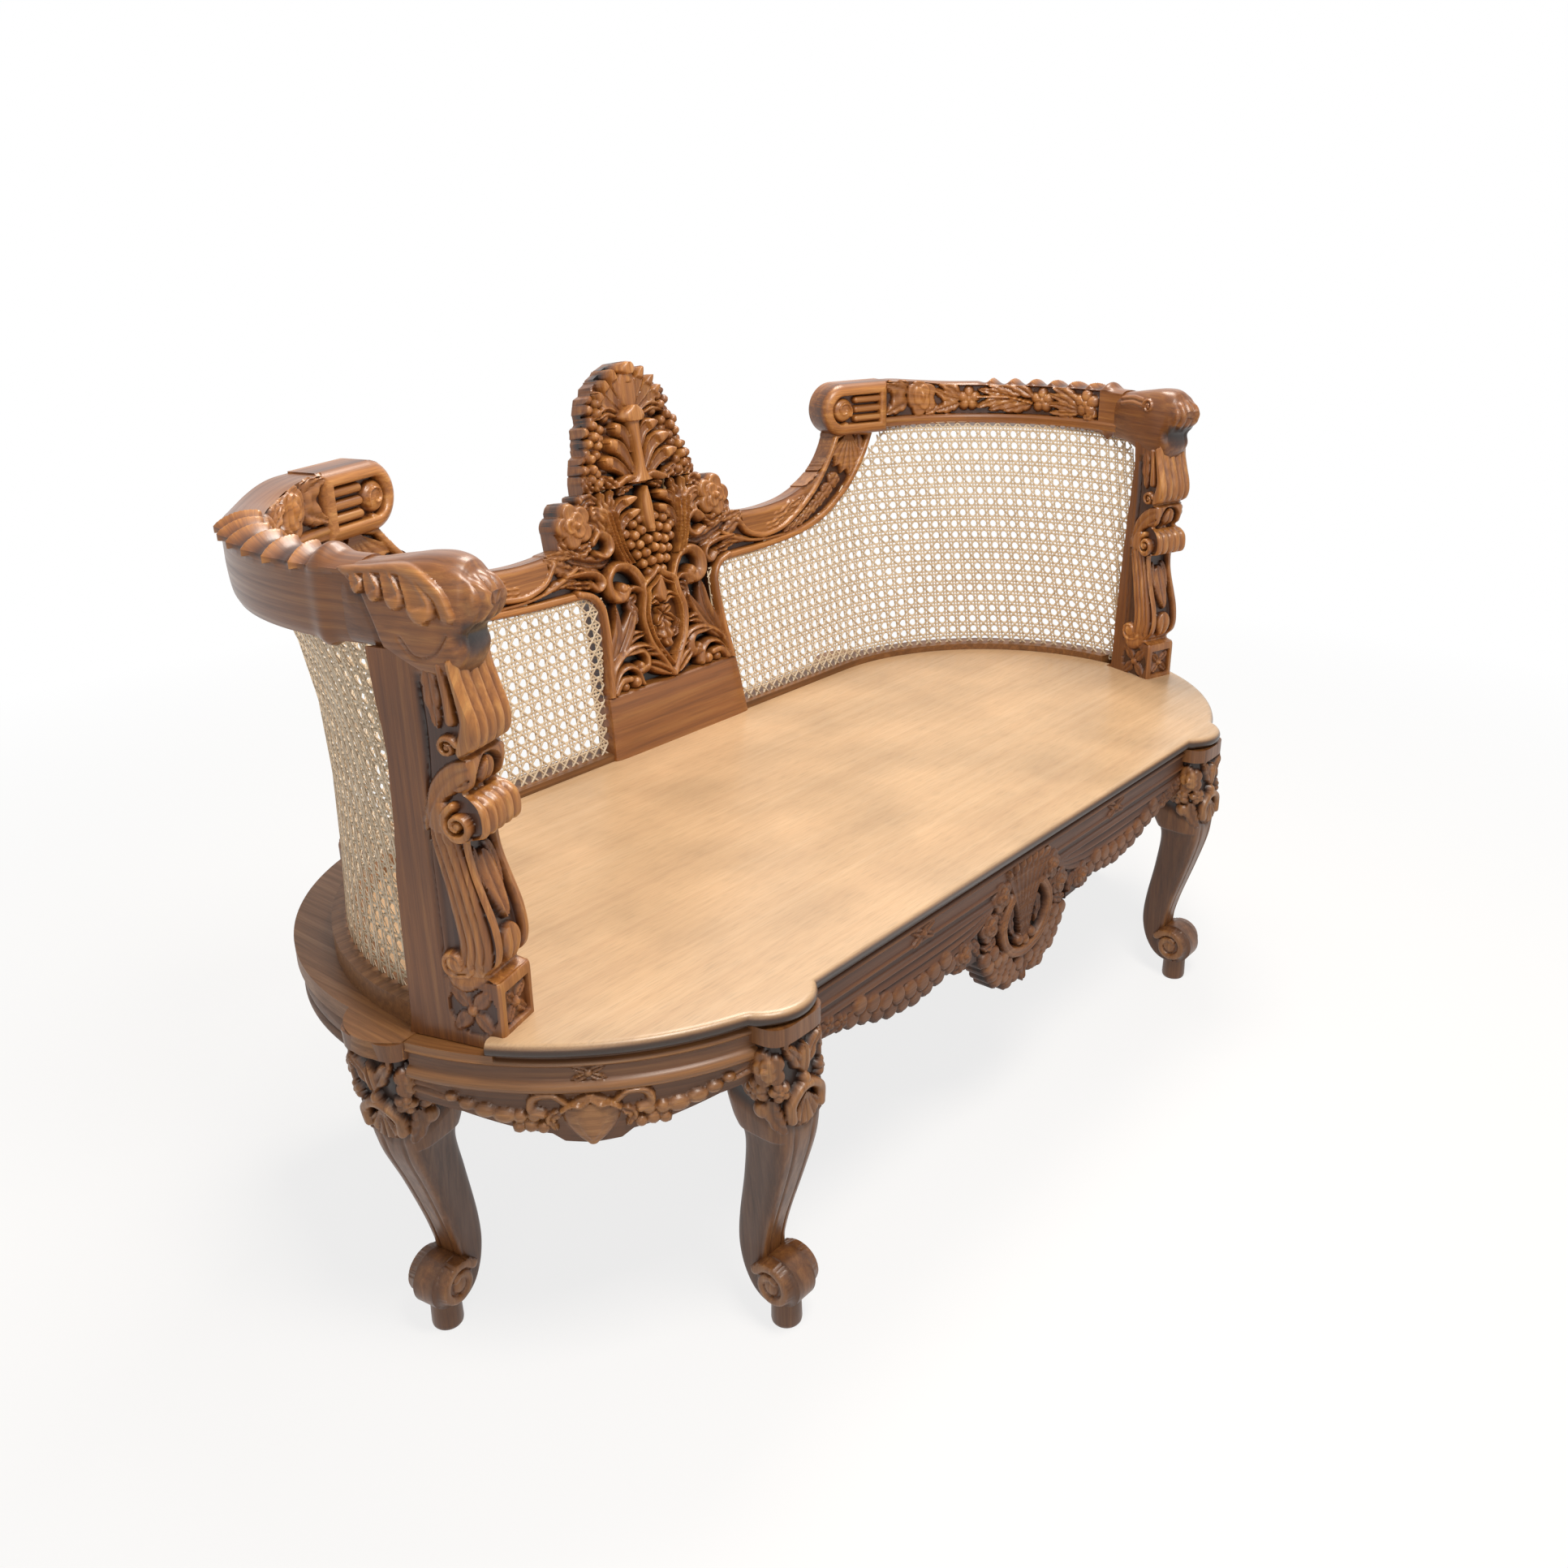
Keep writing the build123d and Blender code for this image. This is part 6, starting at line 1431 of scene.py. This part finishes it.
# The lower front of the knuckle, under its rolled lip, is darkened: a painted shade.
clear_of_painted_shade = ease(ring_z, 826, 840) + ease(ring_d, -1, 6)
proud = (np.clip(0.54 + 0.055 * carved, 0, 1) * np.clip(0.35 + clear_of_painted_shade, 0, 1)).ravel()
add_pair("carved_arm_knuckle", points, faces, teak, "teak", ["arm_knuckle"], grain=grain, proud=proud)

# %% [markdown]
# ## The front rail and its apron
# Under the seat a cove throws a dark line, then come a bead, a flat band with ribbon ties, and folds
# of a swag with a garland of petals along the lower edge. In the middle hangs a pendant: a fan leaf
# between roses, held by a U-shaped scroll. All of it is carved in one plank.

# %% Front rail
FRONT_FACE = 346
APRON_FLOOR, PENDANT_FLOOR, APRON_TOP, APRON_BACK = -6.0, -9.0, 4, -28
APRON_GRID_MM = 1.3
TIE = (232, 381)
APRON_EDGE = (
    (0, 218), (22, 217), (45, 222), (70, 240), (94, 264), (104, 284), (112, 289), (134, 290), (152, 296),
    (170, 303), (200, 298), (240, 293), (300, 301), (345, 318), (400, 330), (446, 336),
)


def on_front(u, v, h):
    """A place on the front rail's face."""
    return np.column_stack([u, -FRONT_FACE - h, v])


def apron_edge(u):
    """Height of the apron's lower edge at a distance from the middle."""
    return np.interp(u, *zip(*APRON_EDGE))


apron = board((-446, 446), (206, 404), APRON_FLOOR, mirrored=True, step=APRON_GRID_MM)
apron.f = apron.v - apron_edge(apron.u)
# Fillets, band, bead and cove from the apron up, and the sunk ground of the pendant
apron.h = np.interp(
    apron.v,
    (300, 356, 357.5, 361, 362.5, 369, 370.5, 373.5, 375, 390, 391.5, 394, 397, 398.5, 404),
    (-4, -4, -1.5, -1.5, -3.5, -3.5, 0.5, 0.5, -1.5, -1.5, 0.5, 2.5, 0.5, -3, -3),
)
apron.h = np.where((apron.u < 108) & (apron.v < 352), PENDANT_FLOOR, apron.h)
# Folds of the swag, and the ribbon's tie on the band
set_out(apron, rib, (
    ([(446, 357), (330, 357), (200, 357), (76, 358)], 12, 1.0),
    ([(446, 349), (330, 346), (200, 345), (120, 349), (72, 359)], 12, 1.0),
    ([(446, 345), (330, 336), (200, 334), (120, 341), (74, 356)], 12, 1.0),
    ([(440, 340), (330, 328), (200, 325), (124, 332), (84, 350)], 12, 1.0),
), tilt=0.5)
for du, dv in ((24, 10), (-24, -10), (24, -10), (-24, 10)):
    leaf(apron, [TIE, (TIE[0] + 0.5 * du, TIE[1] + 0.6 * dv), (TIE[0] + du, TIE[1] + dv)], 12, 3, lobes=0)
berry(apron, TIE, 6, 4)
# Garland of petals along the lower edge, with flowers and a rose at its ends
for row, (drop, high) in enumerate(((4, 1), (18, 3))):
    for u in np.arange(172 + 12 * row, 372, 24):
        low = apron_edge(u) + drop
        dome(apron, (u, low + 5), (14, 13), high, 5)
        gouge(apron, [(u - 11, low + 1), (u - 6, low - 5), (u + 6, low - 5), (u + 11, low + 1)], 1.2, 1.5)
for u, v, size in ((385, 338, 14), (408, 345, 14), (430, 350, 13)):
    flower(apron, (u, v), size, 5, 3)
rose(apron, (143, 312), 19, 6)
set_out(apron, leaf, (
    ([(352, 322), (368, 332), (386, 342)], 16, 2), ([(166, 300), (152, 298), (136, 294)], 16, 2),
    ([(128, 322), (116, 312), (110, 296)], 18, 2),
), lobes=3)
# The pendant: its fish-scale leaves first, then the U scroll, the roses and the fan over them
for u, v in (
    (92, 282), (74, 284), (84, 268), (66, 270), (50, 268), (74, 254), (57, 255), (40, 254), (64, 242),
    (47, 240), (30, 242), (38, 228), (22, 230), (12, 244),
):
    dome(apron, (u, v), (13, 12), 3, 4)
    gouge(apron, [(u - 9, v - 2), (u - 4, v - 9), (u + 5, v - 9), (u + 10, v - 2)], 1.3, 2.2)
for spread, tip in ((0, 394), (15, 394), (31, 393), (48, 389)):
    finger(apron, [(0.12 * spread, 278), (0.38 * spread, 330), (spread, tip)], 15, 4, roll=0.93)
rib(
    apron, [(36, 346), (48, 332), (56, 312), (50, 288), (34, 270), (14, 262), (0, 260)], 17, 5, (0.8, 1.0),
    groove=0.15,
)
set_out(apron, leaf, (
    ([(0, 262), (0, 240), (0, 212)], 30, 3), ([(28, 330), (34, 312), (26, 288)], 16, 0),
    ([(66, 340), (58, 326), (64, 308)], 16, 3), ([(70, 306), (84, 300), (100, 300)], 18, 3),
), lobes=3)
set_out(apron, rose, (((60, 358), 21, 7), ((85, 325), 20, 6)))
set_out(apron, berry, (((0, 274), 8, 5), ((15, 279), 8, 5)))
points, faces, grain, proud = cut_out(apron, on_front, APRON_BACK, APRON_TOP)
proud = 0.12 + 0.88 * proud
# The front rail takes the darkest teak copy, a painted shade for a rail that stands under the seat's edge.
add_piece("carved_front_rail", points, faces, deep_shade_teak, "teak", ["front_rail"], grain[:, [1, 2, 0]], proud)
print("front rail:", len(faces), "faces")

# %% [markdown]
# ## The front corner rails
# Between a front leg and an end leg the rail is sawn from thick stock to the seat's round end, and
# carries the same mouldings. A small shield hangs in its middle, between scrolls and strings of buds.

# %% Front corner rails
CORNER_CENTRE, CORNER_RADIUS = 411, 360
CORNER_MIDDLE = 282.0
LEG_COVE = (372, 394, 1.5)


def on_corner(u, v, h):
    """A place on the round corner rail, u along it from the front."""
    turn = u / CORNER_RADIUS
    reach = CORNER_RADIUS + h
    return np.column_stack([CORNER_CENTRE + reach * np.sin(turn), -reach * np.cos(turn), v])


def from_middle(*places):
    """Places measured along the rail from its middle."""
    return [(CORNER_MIDDLE + u, v) for u, v in places]


corner = board((96, 468), (296, 403), APRON_FLOOR, step=APRON_GRID_MM)
gap = np.abs(corner.u - CORNER_MIDDLE)
corner.f = corner.v - np.interp(gap, (0, 28, 40, 70, 130, 200), (301, 304, 313, 318, 332, 338))
corner.h = np.interp(
    corner.v,
    (300, 360, 361.5, 364, 368, 372, 374.5, 376, 390, 391.5, 394, 397, 398.5, 404),
    (-3.5, -3, 1, 3.4, 4.4, 3.4, 1, -2, -1.5, 0.5, 2.5, 0.5, -3, -3),
)
# The cove is filled where the end leg's cap meets it
corner.h = np.where((corner.u > LEG_COVE[0]) & (corner.v > LEG_COVE[1]), LEG_COVE[2], corner.h)
for side in (1, -1):
    set_out(corner, leaf, (
        (from_middle((0, 384), (side * 8, 388), (side * 17, 391)), 9, 3),
        (from_middle((0, 383), (side * 8, 379), (side * 17, 377)), 9, 3),
    ), lobes=0)
berry(corner, (CORNER_MIDDLE, 384), 4.5, 4)
# From here on the rail's two halves mirror each other about its middle
corner.u = CORNER_MIDDLE + gap
leaf(corner, from_middle((200, 352), (165, 352), (132, 344)), 16, 3, lobes=0, tilt=0.3)
for u, v, size in ((124, 343, 9), (106, 338, 11), (86, 334, 12), (140, 349, 7)):
    dome(corner, (CORNER_MIDDLE + u, v), (1.2 * size, 0.8 * size), 4)
for u, v, size in ((70, 334, 8), (60, 324, 8), (72, 322, 7), (56, 336, 8), (48, 322, 7)):
    berry(corner, (CORNER_MIDDLE + u, v), size, 4)
rib(corner, from_middle((22, 346), (36, 358), (54, 356), (58, 344), (48, 339)), 12, 6, (0.7, 1.0), tilt=0.3)
leaf(corner, from_middle((28, 340), (40, 332), (34, 318)), 14, 4, lobes=3)
stem(corner, (303, 312, 326, 340, 352, 361), (5, 17, 27, 29, 20, 3), 4, CORNER_MIDDLE)
stem(corner, (309, 316, 328, 338, 346, 352), (3, 12, 20, 22, 14, 3), 6, CORNER_MIDDLE)
rib(corner, from_middle((28, 344), (18, 350), (9, 349), (0, 356)), 5, 7.5)
corner.u = corner.true_u
points, faces, grain, proud = cut_out(corner, on_corner, APRON_BACK, APRON_TOP)
grain, proud = grain[:, [1, 2, 0]], 0.25 + 0.65 * proud
# The corner rails take the legs' darker teak copy, a painted shade.
add_pair(
    "carved_front_corner_rail", points, faces, leg_shade_teak, "teak", ["front_corner_rail"],
    grain=grain, proud=proud,
)

# %% [markdown]
# ## The legs
# Six legs stand on turned pegs. Each has a plain cap under the seat's ear, a knee carved with roses and
# leaves, and a slender S-curved shin with two lines down its front that rolls up into a scroll. The
# shin is a skin of rings between a front line and a back line; the scroll's cheeks are carved boards.

# %% Legs
# Front line outwards and up, back line outwards and up, and half width
LEG_LINES = np.array([
    (349, 47, 351, 31, 24), (341, 50, 330, 32, 25), (333, 62, 312, 42, 25), (330, 80, 298, 60, 24),
    (331, 96, 290, 82, 23), (333, 110, 288, 106, 23), (341, 142, 292, 140, 25), (358, 197, 303, 199, 29),
    (371, 245, 309, 252, 34), (374, 276, 298, 280, 38), (374, 312, 289, 314, 40), (373, 350, 287, 350, 40),
    (373, 402.5, 287, 402.5, 40),
])
END_SHIFT = np.interp(LEG_LINES[:, 1], (31, 110, 200, 290, 370), (-31, -26, -25, -16, 0))
FRONT_FOOT, END_FOOT = 345.0, 314.0
LEG_X, END_LEG_X, END_TURN = 484, 411, np.radians(9.0)
LEG_STEPS, LEG_AROUND, LEG_SQUARENESS = 22, 176, 4.2
KNEE_FLOOR, KNEE_HALF = -4.0, 40
SCROLL_HEIGHT, SCROLL_SIZE, SCROLL_HALF, SCROLL_TOP = 62.0, 31.0, 27.0, 1.5
PEG_SIZE, PEG_AROUND = 17.5, 36
PEG_PROFILE = ((0, 4), (0.6, 2), (2.5, 0.6), (6, 0), (20, 0.3), (38, 0.8))

disc = board((-34, 34), (-34, 34), -3.0, step=1.6)
disc.f = SCROLL_SIZE - np.hypot(disc.u, disc.v)
disc.h = -2.5 - 11 * (1 - ease(disc.f, 0, 16)) ** 2
rib(disc, spiral((0, 0), 26, 11, 0.42, -1.25)[::3], 11, SCROLL_TOP, (1.1, 0.8))
berry(disc, (0, 0), 9.5, SCROLL_TOP)


def knee_and_shin(unit, z):
    """How far each spot of a leg's skin stands out, and how proud it looks."""
    way = np.cumsum(np.hypot(*np.diff(np.vstack([unit, unit[:1]]), axis=0).T))
    way = np.concatenate([[0], way[:-1]])
    way = np.where(way > way[-1] / 2 + 0.05, way - way[-1] - 0.1, way)
    carve = Ground(np.tile(way * KNEE_HALF, (len(z), 1)), z, KNEE_FLOOR, mirrored=True)
    knee = ease(carve.v - (264 + 0.35 * carve.u), 0, 20) * (1 - ease(carve.v, 380, 382))
    carve.h = KNEE_FLOOR * knee
    set_out(carve, leaf, (
        ([(70, 378), (78, 350), (70, 312)], 26, 3, 4), ([(44, 318), (42, 298), (30, 276)], 26, 4, 4),
        ([(2, 344), (14, 362), (30, 382)], 20, 6, 2), ([(0, 338), (0, 356), (0, 376)], 20, 7, 0),
    ))
    rose(carve, (48, 354), 21, 8)
    set_out(carve, flower, (((60, 326), 16, 5, 6), ((34, 328), 14, 5, 6)))
    fan(carve, (0, 318), 44, 0.75, 0.27, 5, 6)
    rib(carve, [(24, 292), (24, 310), (12, 322), (0, 325)], 12, 8)
    set_out(carve, berry, (((0, 332), 8, 8), ((56, 304), 10, 6)))
    step = np.where(carve.v < 266, -2.5 * ease(-carve.v, -266, -262), 0) * ease(carve.u, 30, 40)
    grooves = -1.8 * np.exp(-(((carve.u - 17) / 2.2) ** 2)) * (1 - ease(carve.v, 255, 290))
    cap = 2.5 * ease(carve.v, 381, 382.5)
    high = carve.h + step + grooves + cap
    knee_tone = 0.1 + 0.85 * level_of(high, KNEE_FLOOR, 7) ** 0.8
    return high, knee * knee_tone + (1 - knee) * (0.58 + 0.06 * np.minimum(high, 0))


def leg(shift, foot):
    """A leg's points, faces, grain and proudness in (outwards, sideways, up)."""
    lines = smooth(LEG_LINES + np.outer(shift, (1, 0, 1, 0, 0)), LEG_STEPS)
    unit = oval(LEG_AROUND, LEG_SQUARENESS)
    ahead_at, behind_at, wide = lines[:, :2], lines[:, 2:4], lines[:, 4:]
    middle, reach = (ahead_at + behind_at) / 2, (ahead_at - behind_at) / 2
    r, z = (middle[:, [axis]] + reach[:, [axis]] * unit[:, 0] for axis in (0, 1))
    rings = np.stack([r, wide * unit[:, 1], z], -1)
    high, tone = knee_and_shin(unit, z)
    parts = [(*skin(raise_skin(rings, high)), rings.reshape(-1, 3), tone)]
    for cheek in (1, -1):
        def on_cheek(u, v, h):
            return np.column_stack([foot + u, cheek * (SCROLL_HALF + h), SCROLL_HEIGHT + v])

        points, faces, grain, proud = cut_out(disc, on_cheek, -SCROLL_HALF, SCROLL_TOP)
        parts.append((points, faces[:, ::-cheek].tolist(), points, 0.45 + 0.35 * proud))
    ring = oval(PEG_AROUND, 2.0)
    peg = []
    for z, inset in PEG_PROFILE:
        size = PEG_SIZE - inset
        peg.append(np.column_stack([foot + size * ring[:, 0], size * ring[:, 1], np.full(PEG_AROUND, z)]))
    points, faces = skin(np.array(peg))
    parts.append((points, faces, points, np.full(len(points), 0.55)))
    return join(*parts)


front_leg, end_leg = leg(0 * END_SHIFT, FRONT_FOOT), leg(END_SHIFT, END_FOOT)
for name, start, outwards, shape in (
    ("front_right_leg", LEG_X, (0, -1), front_leg), ("front_left_leg", -LEG_X, (0, -1), front_leg),
    ("rear_right_leg", LEG_X, (0, 1), front_leg), ("rear_left_leg", -LEG_X, (0, 1), front_leg),
    ("right_end_leg", END_LEG_X, (np.cos(END_TURN), -np.sin(END_TURN)), end_leg),
    ("left_end_leg", -END_LEG_X, (-np.cos(END_TURN), -np.sin(END_TURN)), end_leg),
):
    local_points, faces, grain, proud = shape
    sideways = (-outwards[1], outwards[0])
    xy = (start, 0) + np.outer(local_points[:, 0], outwards) + np.outer(local_points[:, 1], sideways)
    points = np.column_stack([xy, local_points[:, 2]])
    # The legs take a darker teak copy, a painted shade.
    add_piece("carved_" + name, points, faces, leg_shade_teak, "teak", [name], grain, proud)
print("legs:", len(faces), "faces each")

# %% [markdown]
# ## The splat's shoe
# The splat stands on a plain block that is let into the seat's back rail, a little wider at its foot.

# %% Splat shoe
SHOE_LAYERS = ((404, 143, 0), (480, 136, 0), (503, 134, 0.5), (507, 133, 2), (509, 131, 5))
SHOE_HALF, SHOE_PROUD = 17, 3
SHOE_AROUND, SHOE_SQUARENESS = 72, 14.0
SHOE_GRAIN = 0.45
rounded = oval(SHOE_AROUND, SHOE_SQUARENESS)
layers = []
for z, half_width, inset in SHOE_LAYERS:
    y = SPLAT_FOOT[0] + SPLAT_LEAN * (z - SPLAT_FOOT[1]) + SHOE_HALF
    deep = SHOE_HALF + SHOE_PROUD - inset
    layers.append(np.column_stack([rounded * (half_width, deep) + (0, y), np.full(SHOE_AROUND, z)]))
points, faces = skin(np.array(layers))
grain = SHOE_GRAIN * points[:, [1, 2, 0]]
add_piece("plain_splat_shoe", points, faces, teak, "teak", ["splat_shoe"], grain, crease=30)
print("splat shoe:", len(faces), "faces")

# %% [markdown]
# ## Solids kept from the frame
# Plain pieces keep the solid that the joiner's frame gives them and only take a finish, with the grain
# along each one's length. The pegs that hold the joints are a paler wood left bare, and the screws under
# the seat are zinc-plated steel.

# %% Finishes on the kept solids
DOWEL_HEX = ("#b08a5c", "#c9a675", "#d9bd92")
STEEL_HEX, STEEL_DULL_MM = "#b9bcc0", 4.0
dowel_wood = teak_finish("bare_dowel_wood", *DOWEL_HEX, turn=ALONG_Z)
screw_steel, tree = new_material("zinc_plated_steel")
dulled = add_node(tree, "ShaderNodeTexNoise", {"Scale": per_mm(STEEL_DULL_MM)[0], "Detail": 2.0})
sheen = add_node(tree, "ShaderNodeMapRange", {0: dulled.outputs[0], 3: 0.28, 4: 0.45})
metal = add_node(
    tree, "ShaderNodeBsdfPrincipled",
    {"Base Color": linear(STEEL_HEX), "Metallic": 1.0, "Roughness": sheen.outputs[0]},
)
add_node(tree, "ShaderNodeOutputMaterial", {"Surface": metal.outputs[0]})
for node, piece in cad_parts.items():
    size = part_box(node)[1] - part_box(node)[0]
    longest = max(range(3), key=lambda axis: size[axis])
    # Each kept solid takes a darker teak copy, a painted shade for the frame's place under the arms and the
    # seat.
    finish = frame_shade_teak[longest]
    if "dowels" in node:
        finish = dowel_wood
    if "screws" in node:
        finish = screw_steel
    piece.data.materials.clear()
    piece.data.materials.append(finish)
print("kept solids finished:", len(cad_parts))

# %% [markdown]
# ## Size
# Both boxes, the frame's and the dressed seat's, are measured and compared, and the growth on each side is
# printed.
# The dressed seat has to keep the frame's size, so both boxes are written down and compared.

# %% Sizes
visual_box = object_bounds()
for axis, low, high in zip("xyz", visual_box[0] - cad_box[0], visual_box[1] - cad_box[1]):
    print(axis, "grows by", round(-low * 1000, 1), "and", round(high * 1000, 1), "mm")
